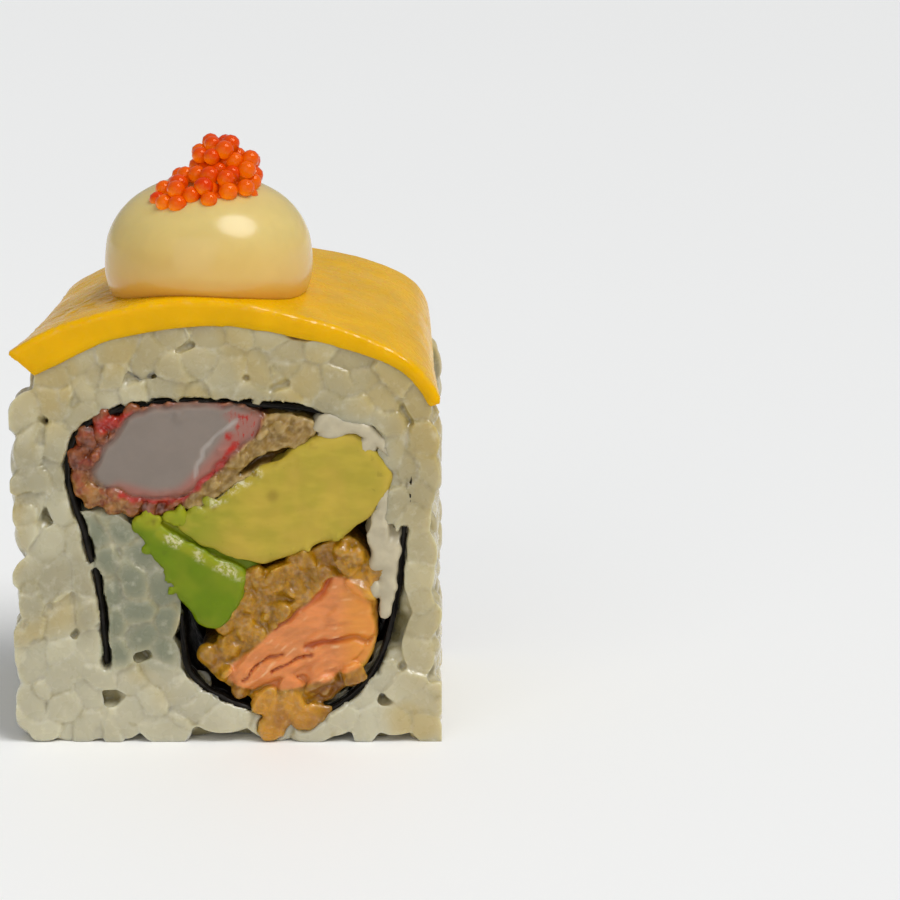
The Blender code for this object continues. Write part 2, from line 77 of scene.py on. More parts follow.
MM = 0.001
SOLID_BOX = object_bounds()
LOW, HIGH = (Vector(corner) / MM for corner in SOLID_BOX)
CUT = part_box("rice")[1][1] / MM

# The fruit slice at the near cut and at the far cut: top and underside, (x, z)
SLICE_TOP = [
    (-22.1, 41.4), (-19.1, 43.1), (-14.0, 45.1), (-5.6, 46.9), (1.0, 46.7), (7.0, 45.4), (13.0, 43.6),
    (18.0, 41.2), (21.0, 38.3), (22.1, 36.3),
]  # fmt: skip
SLICE_UNDERSIDE = [
    (20.9, 35.6), (19.9, 37.4), (17.5, 39.5), (12.4, 41.5), (4.2, 43.4), (-3.6, 43.9), (-11.9, 42.3),
    (-17.2, 39.9), (-19.4, 38.8),
]  # fmt: skip
FAR_SLICE_TOP = [
    (-18.4, 42.0), (-16.6, 43.2), (-12.2, 45.2), (-4.0, 47.0), (2.5, 47.1), (8.5, 46.3), (14.0, 45.1),
    (18.3, 43.1), (20.3, 40.6), (20.9, 36.9),
]  # fmt: skip
FAR_SLICE_UNDERSIDE = [
    (19.3, 36.4), (18.7, 38.8), (16.7, 41.0), (12.0, 42.9), (4.5, 44.0), (-3.0, 44.0), (-11.0, 42.3),
    (-15.6, 40.3), (-17.2, 39.6),
]  # fmt: skip
SLICE_STATIONS = [(0.0, 0.0), (0.3, 0.5), (0.65, 0.78), (1.0, 1.0)]

# The dome of sauce: (radius, height) from its top to its foot, and its middle on the slice
DOME_HEIGHT = 10.6
DOME_PROFILE = [
    (0.0, DOME_HEIGHT), (2.9, 10.32), (5.6, 9.5), (7.9, 8.15), (9.5, 6.4), (10.45, 4.4), (10.8, 2.3),
    (10.65, 1.1), (10.2, 0.1), (9.6, -0.5),
]  # fmt: skip
DOME_MIDDLE = (-2.0, -5.4)

# The middle of the seaweed sheet, (x, z)
NORI_LINE = [
    (-12.6, 8.3), (-13.0, 15), (-14.4, 21.5), (-16.2, 28.6), (-14.4, 33.6), (-8.0, 35.9), (0.0, 36.0),
    (8.0, 35.5), (14.6, 34.0), (18.6, 29.3), (18.2, 22.5), (17.5, 15.5), (15.0, 7.4), (9.0, 2.6),
    (2.0, 3.5), (-3.8, 7.1), (-4.9, 13.6),
]  # fmt: skip

# What is bare of crust: the white of the crab stick and the flesh of the salmon, (x, z)
CRAB_FLESH = [
    (-9.4, 35.0), (-6.0, 35.9), (-1.0, 36.0), (2.2, 35.6), (3.8, 34.3), (2.4, 32.2), (-0.4, 29.8),
    (-3.6, 26.9), (-7.2, 26.0), (-10.6, 26.6), (-13.4, 28.0), (-13.2, 30.2), (-11.2, 33.0),
]  # fmt: skip
# Bulges of the crab stick's crust against the seaweed, (x, z)
CRAB_BULGES = [
    (-15.2, 30.4), (-14.9, 28.2), (-14.3, 32.6), (-13.9, 26.4), (-12.5, 34.4), (-11.6, 25.4), (-9.6, 25.2),
]  # fmt: skip
CRAB_FLAP = [(-0.4, 35.2), (1.2, 33.0), (-0.2, 31.0), (2.4, 31.8), (4.4, 33.6), (3.4, 35.2)]
CRAB_SKIN = [(-10.8, 26.5), (-7.4, 25.7), (-4.4, 26.1), (-2.4, 27.8), (-0.4, 30.0), (1.0, 32.0)]
CRAB_FOLD = [(1.2, 34.2), (-0.9, 32.9), (-2.4, 30.6), (-3.2, 28.4)]
BATTER = [
    (9.0, 35.2), (4.6, 35.0), (3.6, 33.2), (0.9, 30.8), (-1.4, 28.2), (-3.8, 26.2), (-4.4, 23.2),
    (2.0, 26.5), (9.4, 32.0),
]  # fmt: skip
BATTER_BODY = [
    (8.6, 34.2), (4.6, 34.8), (3.6, 33.2), (0.9, 30.8), (-1.4, 28.2), (-3.6, 26.2), (-3.2, 25.0),
    (1.8, 28.2), (6.0, 30.8), (8.9, 32.6),
]  # fmt: skip
BATTER_SLIT = [(1.3, 28.5), (3.4, 30.3), (6.4, 31.5), (7.3, 31.0), (5.4, 30.3), (3.2, 29.2)]
SALMON_FLESH = [
    (5.2, 12.8), (8.8, 15.4), (10.6, 17.8), (13.4, 17.0), (15.0, 14.2), (15.3, 10.2), (13.4, 8.2),
    (10.7, 6.8), (7.4, 5.9), (3.3, 5.3), (0.4, 6.0), (-0.2, 7.6), (2.6, 10.2),
]  # fmt: skip
# Gaps between the salmon's flakes, (x, z), with their widths
FLAKE_GAPS = [
    ([(4.8, 12.4), (7.7, 14.5), (9.6, 15.9), (11.0, 18.0)], 0.75),
    ([(8.3, 10.2), (10.6, 10.9), (13.0, 11.2), (14.8, 10.9)], 0.8),
    ([(4.6, 7.7), (6.9, 8.8), (8.6, 9.4)], 0.3),
    ([(1.6, 6.4), (3.2, 8.4), (5.5, 9.6)], 0.25),
]
# Bulges of the salmon's crust over its neighbours, and the torn bit that hangs over the rice, (x, z)
CRUST_BULGES = [
    (1.2, 15.6), (1.8, 17.2), (0.4, 14.0), (-0.3, 12.6), (-2.2, 9.2), (14.9, 17.4), (13.2, 19.8)
]
LOOSE_CRUST = [(3.9, 4.2), (5.0, 2.7), (6.6, 3.9), (4.4, 1.6), (7.8, 2.7)]

# Crumbly bits of avocado: lines (x, z) along which they lie, with their number and size
AVOCADO_BITS = [
    ([(-3.6, 24.4), (-0.4, 25.7), (2.2, 27.2)], 16, 0.5),
    ([(2.2, 27.0), (5.4, 29.2), (8.4, 31.0)], 9, 0.4),
    ([(4.0, 19.9), (9.0, 21.6), (13.0, 23.6)], 8, 0.4),
]
GREEN_BITS = [
    ([(-9.3, 23.2), (-7.4, 24.0), (-4.6, 24.2)], 16, 0.6),
    ([(-6.8, 22.6), (-4.2, 21.0), (-1.6, 19.6), (1.2, 18.0)], 16, 0.45),
    ([(-8.2, 21.4), (-6.4, 18.2), (-4.2, 15.0)], 7, 0.4),
]
GREEN_SHELF = [
    (-8.4, 22.6), (-6.6, 22.0), (-2.6, 20.0), (1.5, 17.8), (3.2, 18.9), (0.4, 20.1), (-2.2, 21.3),
    (-4.4, 22.6), (-5.0, 24.0), (-8.0, 24.2),
]  # fmt: skip

# Lumps of cream that bulge out at the cuts: (x, z) and radii
CREAM_LUMPS = [
    ((16.6, 25.4), (1.5, 0.9, 1.9)), ((17.7, 23.4), (1.2, 0.8, 1.2)), ((11.0, 32.9), (1.7, 0.8, 0.9)),
    ((15.6, 19.6), (0.8, 0.8, 1.8)), ((14.4, 31.6), (1.2, 0.8, 1.0)), ((17.2, 28.6), (1.0, 1.1, 1.7)),
    ((16.7, 21.4), (0.9, 1.0, 1.5)), ((12.8, 33.3), (1.3, 1.0, 0.8)), ((15.2, 16.4), (0.6, 0.9, 1.2)),
]  # fmt: skip


# The roe heap: its largest egg as a part of the usual size, and the middles and radii of its lumps,
# with heights over the dome's top
LARGEST_EGG = 1.1
ROE_LUMPS = [
    ((-1.4, -7.7, -1.1), (4.7, 4.2, 1.9)),
    ((-1.0, -6.2, 1.5), (2.3, 2.2, 2.4)),
    ((-4.6, -9.8, -2.0), (2.5, 2.4, 1.7)),
    ((-4.9, -11.0, -2.6), (1.6, 1.2, 1.5)),
    ((-1.8, -10.4, -1.7), (2.8, 1.8, 1.5)),
    ((1.5, -6.6, 0.3), (1.9, 2.0, 1.9)),
]


# The camera looks at its target from the photo's angle. The view's width is that at the target.
CAMERA_TARGET = (0.02295, -0.0165, 0.0313)
CAMERA_DISTANCE = 0.4
CAMERA_TILT = math.radians(13.4)
VIEW_WIDTH = 0.0918


def srgb(red, green, blue):
    """A colour of the screen, 0 to 255, as linear light."""
    return tuple(((c / 255 + 0.055) / 1.055) ** 2.4 if c > 10 else c / 3294 for c in (red, green, blue))


def colour_setting(name, description, *screen):
    return bpy.props.FloatVectorProperty(
        name=name, description=description, default=srgb(*screen), subtype="COLOR", min=0.0, max=1.0
    )


def length_setting(name, description, default):
    return bpy.props.FloatProperty(
        name=name, description=description, default=default * MM, min=0.0, subtype="DISTANCE", unit="LENGTH"
    )


class RollSizes(bpy.types.PropertyGroup):
    """Sizes of the small things that the roll is made of."""

    grain_length: length_setting("Grain length", "Length of a cooked rice grain", 5.8)
    grain_width: length_setting("Grain width", "Width of a cooked rice grain", 3.5)
    grain_gap: length_setting("Grain spacing", "Distance between the middles of the grains", 2.5)
    crumb_size: length_setting("Crumb size", "Width of a crumb of the fried crusts", 1.1)
    sheet_width: length_setting("Sheet thickness", "Thickness of the damp seaweed sheet", 0.5)
    egg_size: length_setting("Egg size", "Width of one egg of the roe", 1.9)


class RollColours(bpy.types.PropertyGroup):
    """Colours of the roll's foods."""

    rice: colour_setting("Rice", "Darker patches of the rice", 166, 157, 124)
    # lighter random patches of the rice, and the colour of the painted highlight on the grains' rims
    rice_patch_and_lit_rim: colour_setting("Rice rim", "Lighter patches and rims of the rice", 192, 185, 154)
    inner_rice: colour_setting("Inner rice", "Rice inside the seaweed sheet", 122, 125, 98)
    # real fruit juice stains, also the colour of the painted reflection of the mango and of the painted
    # shade at the roll's right side
    fruit_stain_and_light_colour: colour_setting("Juice", "Fruit juice that has run into the rice", 186, 160, 80)
    nori: colour_setting("Seaweed", "Damp toasted seaweed", 17, 13, 8)
    crab: colour_setting("Crab stick", "White core of the crab stick", 137, 124, 113)
    crab_skin: colour_setting("Crab stick skin", "Red skin of the crab stick", 170, 34, 20)
    crab_crust: colour_setting("Crab crust", "Fried crust round the crab stick", 120, 54, 16)
    batter: colour_setting("Batter", "Pale batter beside the crab stick", 148, 113, 42)
    avocado: colour_setting("Ripe avocado", "Yellow flesh of the large avocado slice", 176, 158, 54)
    avocado_green: colour_setting("Green avocado", "Green flesh of the small slice", 122, 136, 15)
    cream: colour_setting("Cream cheese", "White cream cheese", 196, 184, 154)
    salmon: colour_setting("Salmon", "Cooked salmon flesh", 218, 136, 74)
    salmon_crust: colour_setting("Salmon crust", "Golden fried crust of the salmon", 180, 126, 8)
    mango: colour_setting("Mango", "Ripe mango flesh", 232, 176, 0)
    mayonnaise: colour_setting("Mayonnaise", "Cream-yellow sauce", 217, 193, 121)
    roe: colour_setting("Roe", "Eggs of flying fish", 210, 42, 0)
    roe_amber: colour_setting("Amber roe", "The lighter eggs", 230, 96, 0)


class StudioSettings(bpy.types.PropertyGroup):
    """The pale studio that the roll is shown in."""

    floor: colour_setting("Floor", "Plain pale floor", 251, 251, 250)
    sky: colour_setting("Surroundings", "Light from all sides", 226, 228, 230)
    sky_strength: bpy.props.FloatProperty(
        name="Surroundings strength", description="Brightness of the light from all sides", default=0.45
    )
    overhead_strength: bpy.props.FloatProperty(
        name="Overhead strength", description="Strength of the broad light overhead", default=2.0
    )
    fill_power: bpy.props.FloatProperty(
        name="Fill power", description="Power of the wide fill light in front", default=2.4, unit="POWER"
    )


def sizes():
    return bpy.context.scene.uramaki_sizes


def colours():
    return bpy.context.scene.uramaki_colours


def studio():
    return bpy.context.scene.uramaki_studio


# Lines and outlines


def spline_point(a, b, c, d, t):
    """The point at t on the smooth span from b to c, with a and d as its neighbours."""
    bend, twist = 2 * a - 5 * b + 4 * c - d, 3 * b - a - 3 * c + d
    return 0.5 * (2 * b + (c - a) * t + bend * t * t + twist * t**3)


def smooth_line(points, per_span):
    """An open smooth curve through the points."""
    p = [Vector(q) for q in points]
    ends = [2 * p[0] - p[1], *p, 2 * p[-1] - p[-2]]
    line = [
        spline_point(*ends[i : i + 4], k / per_span) for i in range(len(p) - 1) for k in range(per_span)
    ]
    return line + [p[-1]]


def smooth_loop(points, per_span):
    """A closed smooth curve through the points."""
    p = [Vector(q) for q in points]
    n = len(p)
    return [
        spline_point(p[i - 1], p[i], p[(i + 1) % n], p[(i + 2) % n], k / per_span)
        for i in range(n)
        for k in range(per_span)
    ]


def line_distance(points, line):
    """Distance of each point (x, z) to an open line."""
    best = np.full(len(points), 1e9)
    for a, b in zip(line, line[1:]):
        a, b = np.array(a), np.array(b)
        t = np.clip(((points - a) @ (b - a)) / max((b - a) @ (b - a), 1e-9), 0, 1)
        best = np.minimum(best, np.linalg.norm(points - a - t[:, None] * (b - a), axis=1))
    return best


def depth_inside(points, outline):
    """How far each point (x, z) lies inside a closed outline: below 0 outside it."""
    loop = smooth_loop(outline, 4)
    closed = loop + loop[:1]
    within = np.zeros(len(points), bool)
    for a, b in zip(closed, closed[1:]):
        crosses = (a.y > points[:, 1]) != (b.y > points[:, 1])
        if abs(b.y - a.y) > 1e-9:
            within ^= crosses & (points[:, 0] < a.x + (points[:, 1] - a.y) * (b.x - a.x) / (b.y - a.y))
    return line_distance(points, closed) * np.where(within, 1, -1)


def spot_distance(points, spots):
    """Distance of each point (x, z) to the nearest spot."""
    return np.min([np.hypot(points[:, 0] - x, points[:, 1] - z) for x, z in spots], axis=0)


def step(values, low, high):
    """0 below low, 1 above high, and smooth between them."""
    t = np.clip((values - low) / (high - low), 0, 1)
    return t * t * (3 - 2 * t)


def ripple(points, size, seed):
    """Smooth noise from -1 to 1 at each point, with bumps of that size."""
    shift = Vector((seed * 17.3, seed * 5.1, seed * 9.7))
    return np.array([noise.noise(Vector(p) / size + shift) for p in points])


def crags(points, size, seed):
    """Noise from -1 to 1 with sharp ridges, as on a fried crust."""
    return 1 - 4 * np.abs(ripple(points, size, seed))


def wandering(points, amount, size, *seeds):
    """The points' places (x, z), pushed about by noise, so that outlines read from them are uneven."""
    return points[:, [0, 2]] + amount * np.stack([ripple(points, size, seed) for seed in seeds], axis=1)


def near_cuts(points):
    """1 at both of the knife's cuts, 0 inside the roll."""
    return step(np.abs(points[:, 1]), CUT - 3.0, CUT - 1.6)


# Meshes in millimetres


def to_mesh(bm, name):
    """The bmesh as a mesh, after which the bmesh is gone."""
    mesh = bpy.data.meshes.new(name)
    bm.to_mesh(mesh)
    bm.free()
    return mesh


def solid(node):
    """A merged copy of a CAD node."""
    bm = bmesh.new()
    bm.from_mesh(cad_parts[node].data)
    bmesh.ops.scale(bm, vec=(1 / MM,) * 3, verts=bm.verts)
    bmesh.ops.remove_doubles(bm, verts=bm.verts, dist=1e-3)
    return bm


def surface_of(node):
    """The search tree of a CAD node's surface."""
    bm = solid(node)
    tree = BVHTree.FromBMesh(bm)
    bm.free()
    return tree


def turned(along, normal):
    """A rotation that takes X to along and Z to normal."""
    x = Vector(along).normalized()
    z = (Vector(normal) - x * x.dot(Vector(normal))).normalized()
    return Matrix((x, z.cross(x), z)).transposed()


def add_lump(bm, middle, radii, turn, subdivisions=2, bend=0.0, rough=None):
    """Adds an ellipsoid, bent like a cooked grain where a bend is given, or jagged by a random source."""
    made = bmesh.ops.create_icosphere(bm, subdivisions=subdivisions, radius=1.0)["verts"]
    placed = Matrix.Translation(middle) @ turn.to_4x4()
    for v in made:
        x, y, z = v.co * (rough.uniform(0.6, 1.3) if rough else 1.0)
        v.co = placed @ Vector((x * radii[0], y * radii[1] + bend * (x * x - 0.4), z * radii[2]))


def add_bulges(bm, spots, radii, setback, sides=(-1, 1)):
    """Adds the same lump at each spot (x, z), its middle that far behind the cuts."""
    for x, z in spots:
        for side in sides:
            add_lump(bm, Vector((x, side * (CUT - setback), z)), radii, Matrix.Identity(3))


def loft(sections):
    """A closed solid through sections (y, outline) whose outlines (x, z) have matching corners."""
    bm = bmesh.new()
    corner = bm.verts.layers.int.new("corner")
    y, outline = sections[0]
    ring = [bm.verts.new((p[0], y, p[1])) for p in outline]
    for k, v in enumerate(ring):
        v[corner] = k
    cap = bm.faces.new(ring)
    for y, outline in sections[1:]:
        grown = bmesh.ops.extrude_face_region(bm, geom=[cap])["geom"]
        cap = next(f for f in grown if isinstance(f, bmesh.types.BMFace))
        for v in cap.verts:
            v.co = Vector((outline[v[corner]][0], y, outline[v[corner]][1]))
    bmesh.ops.recalc_face_normals(bm, faces=bm.faces)
    return bm


def add_prism(bm, outline, reach):
    """Adds a filled outline (x, z) that runs from cut to cut, as far as the reach."""
    mesh = to_mesh(loft([(-reach, outline), (reach, outline)]), "bar")
    bm.from_mesh(mesh)
    bpy.data.meshes.remove(mesh)


def fuse(bm, voxel, smoothing):
    """One skin over all that the bmesh holds, softened a little."""
    mesh = to_mesh(bm, "fusing")
    obj = bpy.data.objects.new("fusing", mesh)
    bpy.context.scene.collection.objects.link(obj)
    skin = obj.modifiers.new("skin", "REMESH")
    skin.mode = "VOXEL"
    skin.voxel_size = voxel
    soften = obj.modifiers.new("soften", "SMOOTH")
    soften.factor = 0.5
    soften.iterations = smoothing
    graph = bpy.context.evaluated_depsgraph_get()
    fused = bpy.data.meshes.new_from_object(obj.evaluated_get(graph))
    bpy.data.objects.remove(obj, do_unlink=True)
    bpy.data.meshes.remove(mesh)
    return fused


def drop_scraps(mesh, smallest):
    """Removes closed pockets inside the mesh and bodies smaller than so many cubic millimetres."""
    bm = bmesh.new()
    bm.from_mesh(mesh)
    waiting = set(bm.verts)
    loose = []
    while waiting:
        body = {waiting.pop()}
        rim = set(body)
        while rim:
            rim = {e.other_vert(v) for v in rim for e in v.link_edges} - body
            body |= rim
        waiting -= body
        faces = {f for v in body for f in v.link_faces}
        volume = sum(f.calc_area() * f.normal.dot(f.calc_center_median()) for f in faces) / 3
        if volume < smallest:
            loose += body
    bmesh.ops.delete(bm, geom=loose, context="VERTS")
    bm.to_mesh(mesh)
    bm.free()


def read_points(mesh):
    points = np.empty(len(mesh.vertices) * 3)
    mesh.vertices.foreach_get("co", points)
    return points.reshape(-1, 3)


def read_normals(mesh):
    normals = np.empty(len(mesh.vertices) * 3)
    mesh.vertex_normals.foreach_get("vector", normals)
    return normals.reshape(-1, 3)


def write_points(mesh, points):
    mesh.vertices.foreach_set("co", points.ravel())
    mesh.update()


def paint(mesh, **masks):
    """Stores one value for each vertex and mask, for the material to read."""
    for name, values in masks.items():
        layer = mesh.attributes.new(name, "FLOAT", "POINT")
        layer.data.foreach_set("value", np.ascontiguousarray(values, dtype=np.float32))


def within_box(points):
    """The points, kept inside the solids' box."""
    return np.clip(points, np.array(LOW), np.array(HIGH))


def finish_piece(name, mesh, material, slot, *nodes):
    """Turns a mesh in millimetres into a finished piece that stands for its nodes."""
    mesh.transform(Matrix.Scale(MM, 4))
    mesh.name = name
    mesh.shade_smooth()
    mesh.materials.clear()
    mesh.materials.append(material)
    piece = bpy.data.objects.new(name, mesh)
    bpy.context.scene.collection.objects.link(piece)
    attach(piece, "root")
    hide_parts(*nodes)
    return piece


def scatter(draw, count, gap, seed, earlier=(), complete=None):
    """Spots from draw(rng), whose first value is a place, dropped where two come nearer than the gap.
    What is kept goes through complete(rng, place), which may still turn it down."""
    rng = random.Random(seed)
    kept, cells = list(earlier), {}

    def cell_of(place):
        return tuple(int(c // gap) for c in place)

    for spot in kept:
        cells.setdefault(cell_of(spot[0]), []).append(spot[0])
    for _ in range(count):
        spot = draw(rng)
        if spot is None:
            continue
        x, y, z = cell_of(spot[0])
        around = ((x + i, y + j, z + k) for i in (-1, 0, 1) for j in (-1, 0, 1) for k in (-1, 0, 1))
        if any((spot[0] - other).length < gap for cell in around for other in cells.get(cell, ())):
            continue
        spot = complete(rng, spot[0]) if complete else spot
        if spot is not None:
            cells.setdefault((x, y, z), []).append(spot[0])
            kept.append(spot)
    return kept


# Materials


class Wire:
    """A socket of a material's nodes, used in expressions."""

    def __init__(self, tree, socket=None):
        self.tree = tree
        self.socket = socket

    def node(self, kind, settings=None, values=None, output=0):
        """Adds a node with its settings, then the values or links of its sockets."""
        made = self.tree.nodes.new(kind)
        for key, value in (settings or {}).items():
            setattr(made, key, value)
        for key, value in (values or {}).items():
            if isinstance(value, Wire):
                self.tree.links.new(value.socket, made.inputs[key])
            else:
                made.inputs[key].default_value = value
        return Wire(self.tree, made.outputs[output])

    def maths(self, operation, *values):
        return self.node("ShaderNodeMath", {"operation": operation}, dict(enumerate(values)))

    def __add__(self, other):
        return self.maths("ADD", self, other)

    def __radd__(self, other):
        return self.maths("ADD", other, self)

    def __sub__(self, other):
        return self.maths("SUBTRACT", self, other)

    def __rsub__(self, other):
        return self.maths("SUBTRACT", other, self)

    def __mul__(self, other):
        return self.maths("MULTIPLY", self, other)

    def __rmul__(self, other):
        return self.maths("MULTIPLY", other, self)

    def position(self, stretch=(1.0, 1.0, 1.0)):
        """Object coordinates in millimetres, stretched."""
        at = self.node("ShaderNodeTexCoord", output="Object")
        scale = tuple(s / MM for s in stretch)
        return self.node("ShaderNodeMapping", {"vector_type": "POINT"}, {"Vector": at, "Scale": scale})

    def grainy(self, size, detail=2.0, roughness=0.55, stretch=(1.0, 1.0, 1.0)):
        """Noise with bumps of that size in millimetres."""
        values = {"Scale": 1 / size, "Detail": detail, "Roughness": roughness}
        return self.node("ShaderNodeTexNoise", None, {"Vector": self.position(stretch), **values})

    def mask(self, name):
        """A value painted on the vertices."""
        return self.node("ShaderNodeAttribute", {"attribute_name": name}, output="Fac")

    def tip_highlight_and_hollow_shade(self):
        """About 0.5 on flat ground, more on tips and less in hollows; it places painted highlights on tips
        and painted shade in hollows.
        """
        return self.node("ShaderNodeNewGeometry", output="Pointiness")

    def between(self, low, high, to_low=0.0, to_high=1.0):
        """0 to 1, or other ends, as the value goes from low to high."""
        values = {"Value": self, "From Min": low, "From Max": high, "To Min": to_low, "To Max": to_high}
        return self.node("ShaderNodeMapRange", {"interpolation_type": "SMOOTHSTEP"}, values)

    def blend(self, first, second):
        """The first colour where the value is 0, the second where it is 1."""
        ends = [c if isinstance(c, Wire) else (*c, 1.0) for c in (first, second)]
        values = {0: self, 6: ends[0], 7: ends[1]}
        return self.node("ShaderNodeMix", {"data_type": "RGBA"}, values, output=2)

    def bump(self, depth, strength=1.0):
        """A normal bumped by the value, for a height of so many millimetres."""
        values = {"Height": self, "Distance": depth * MM, "Strength": strength}
        return self.node("ShaderNodeBump", None, values)


def new_food(name):
    """A new material and a wire on its nodes."""
    material = bpy.data.materials.new(name)
    material.use_nodes = True
    return material, Wire(material.node_tree)


def finish_food(material, inputs):
    """Sets the shader's sockets to values or wires."""
    shader = material.node_tree.nodes["Principled BSDF"]
    for key, value in inputs.items():
        if isinstance(value, Wire):
            material.node_tree.links.new(value.socket, shader.inputs[key])
        elif key == "Base Color":
            shader.inputs[key].default_value = (*value, 1.0)
        else:
            shader.inputs[key].default_value = value
    return material


def shade(colour, factor):
    """The colour made lighter or darker."""
    return tuple(min(1.0, c * factor) for c in colour)


def flesh_depth(weight, scale, radius):
    """Sockets for light that goes into a food: how much, how deep in millimetres, and which colours."""
    return {
        "Subsurface Weight": weight,
        "Subsurface Scale": scale * MM,
        "Subsurface Radius": radius,
    }


def rice_material():
    material, wire = new_food("rice")
    c = colours()
    tone, crease, stain, rim = (wire.mask(n) for n in ("tone", "crease", "stain", "rim"))
    chalk = wire.grainy(1.1, 3.0)
    patch = wire.grainy(7.0, 2.0)
    base = patch.between(0.35, 0.65).blend(tuple(c.rice), tuple(c.rice_patch_and_lit_rim))
    # painted highlight: each grain's rim is made lighter than its middle, as light through its edges
    base = (rim.between(0.5, 1.0) * chalk.between(0.3, 0.7, 0.0, 0.6)).blend(base, tuple(c.rice_patch_and_lit_rim))
    base = tone.between(0.0, 1.0, 0.0, 0.4).blend(base, shade(c.rice, 0.78))
    # painted bounce light: the rice is made paler towards the board, as light thrown up from the floor
    base = (wire.mask("pale") * 0.5).blend(base, srgb(204, 198, 172))
    # real juice stains together with a painted reflection of the mango and painted shade at the right
    base = (stain * 0.6).blend(base, tuple(c.fruit_stain_and_light_colour))
    # the rice inside the seaweed keeps a painted highlight on its rims too
    base = (wire.mask("inner") * rim.between(0.3, 1.0, 0.95, 0.5)).blend(base, tuple(c.inner_rice))
    # painted highlight: creases between grains and rice beside bare seaweed are lit whitish
    base = (crease * chalk.between(0.4, 0.6, 0.0, 0.35)).blend(base, srgb(214, 207, 178))
    # painted shade: some creases between grains are darkened olive
    base = (crease * wire.grainy(3.0, 2.0).between(0.5, 0.62, 0.0, 0.4)).blend(base, srgb(146, 130, 66))
    # painted shade: rice lying deep in the hollows between grains is darkened olive
    base = (wire.mask("hollow") * 0.85).blend(base, srgb(134, 122, 80))
    base = chalk.between(0.55, 0.8, 0.0, 0.35).blend(base, srgb(222, 215, 190))
    rough = wire.grainy(1.6, 2.0).between(0.35, 0.7, 0.2, 0.42)
    return finish_food(
        material,
        {
            "Base Color": base,
            "Roughness": rough,
            "Normal": (wire.grainy(0.5, 2.0) * 0.5 + wire.grainy(1.4, 2.0)).bump(0.08, 0.6),
            "Coat Weight": 0.6,
            "Coat Roughness": 0.05,
            **flesh_depth(0.8, 2.0, (1.0, 0.88, 0.6)),
        },
    )


# Rice


def rice_at(surface, x, z, side):
    """Whether there is rice at a spot of the cut face."""
    hit = surface.ray_cast(Vector((x, side * 40, z)), Vector((0, -side, 0)))[0]
    return hit is not None and side * hit.y > CUT - 2.6


def edge_room(x, z):
    """How far a grain's middle keeps from where the rice ends: little where grains lean over."""
    left = x < -9.0 and 7.0 < z < 32.0
    right = x > 14.0 and 9.0 < z < 22.0
    hollow = -7.0 < x < 2.5 and z < 14.0
    return 0.4 if left else 0.9 if right or hollow else 0.05


def way_to_edge(surface, x, z, side, radius):
    """The sum of the directions in which there is no rice at that radius."""
    ways = [Vector((math.cos(a), math.sin(a))) for a in np.arange(12) * math.tau / 12]
    return [w for w in ways if not rice_at(surface, x + radius * w.x, z + radius * w.y, side)]


def leans_over(x, z):
    """Whether grains lean over the seaweed and the cream there, where there is no rice behind."""
    return 16.9 < x < 20.0 and 23.0 < z < 32.5


def cut_grains(surface, side, depth, gap, seed):
    """Grains in a cut face, at a depth range behind the cut: first along its edges, then between."""

    def draw(rng):
        x, z = rng.uniform(LOW.x + 1.6, HIGH.x - 1.6), rng.uniform(1.3, 44)
        return (Vector((x, side * (CUT - rng.uniform(*depth)), z)),)

    def complete(rng, place, along_edge):
        x, z = place.x, place.z
        room = edge_room(x, z)
        if not leans_over(x, z):
            if not rice_at(surface, x, z, side) or way_to_edge(surface, x, z, side, room):
                return None
        angle = rng.uniform(0, math.pi)
        if along_edge:
            blocked = way_to_edge(surface, x, z, side, room + 0.6)
            if not blocked:
                return None
            away = sum(blocked, Vector((0, 0)))
            angle = math.atan2(away.x, -away.y) + rng.uniform(-0.35, 0.35)
        along = Vector((math.cos(angle), rng.uniform(-0.3, 0.3), math.sin(angle)))
        return place, along, Vector((0, side, 0))

    edge = scatter(draw, 5000, gap, seed, (), partial(complete, along_edge=True))
    return scatter(draw, 5000, gap, seed + 1, edge, partial(complete, along_edge=False))


def side_grains(surface, cover, gap, seed):
    """Grains on the outside of the roll, sunk deeper where the fruit slice covers them."""

    def draw(rng):
        angle = rng.uniform(0, math.tau)
        way = Vector((math.cos(angle), 0, math.sin(angle)))
        start = Vector((0, rng.uniform(-CUT + 1.2, CUT - 1.2), 21.5)) + way * 50
        hit, normal = surface.ray_cast(start, -way)[:2]
        if hit is None or normal.dot(way) < 0.2 or abs(hit.y) > CUT - 1.0:
            return None
        covered = cover.ray_cast(start, -way)[0] is not None or cover.find_nearest(hit)[3] < 1.6
        place = hit - way * (rng.uniform(2.2, 2.6) if covered else rng.uniform(0.5, 1.2))
        reach = HIGH.x - 1.7
        place.x = min(reach, max(-reach, place.x))
        place.z = max(1.1, place.z)
        spin = rng.uniform(0, math.pi)
        level = Vector((-way.z, 0, way.x))
        return place, math.cos(spin) * level + Vector((0, math.sin(spin), 0)), way

    return scatter(draw, 9000, gap, seed)


def rice_core(surface_mesh, nori):
    """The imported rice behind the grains: the solid, smoothed and drawn in, but not from the seaweed."""
    core = fuse(surface_mesh, 0.8, 8)
    points, normals = read_points(core), read_normals(core)
    away = np.array([nori.find_nearest(Vector(p))[3] for p in points])
    points -= normals * (0.2 + 0.9 * step(away, 0.6, 2.0))[:, None]
    points[:, 1] = np.clip(points[:, 1], -CUT + 2.0, CUT - 2.0)
    write_points(core, points)
    return core


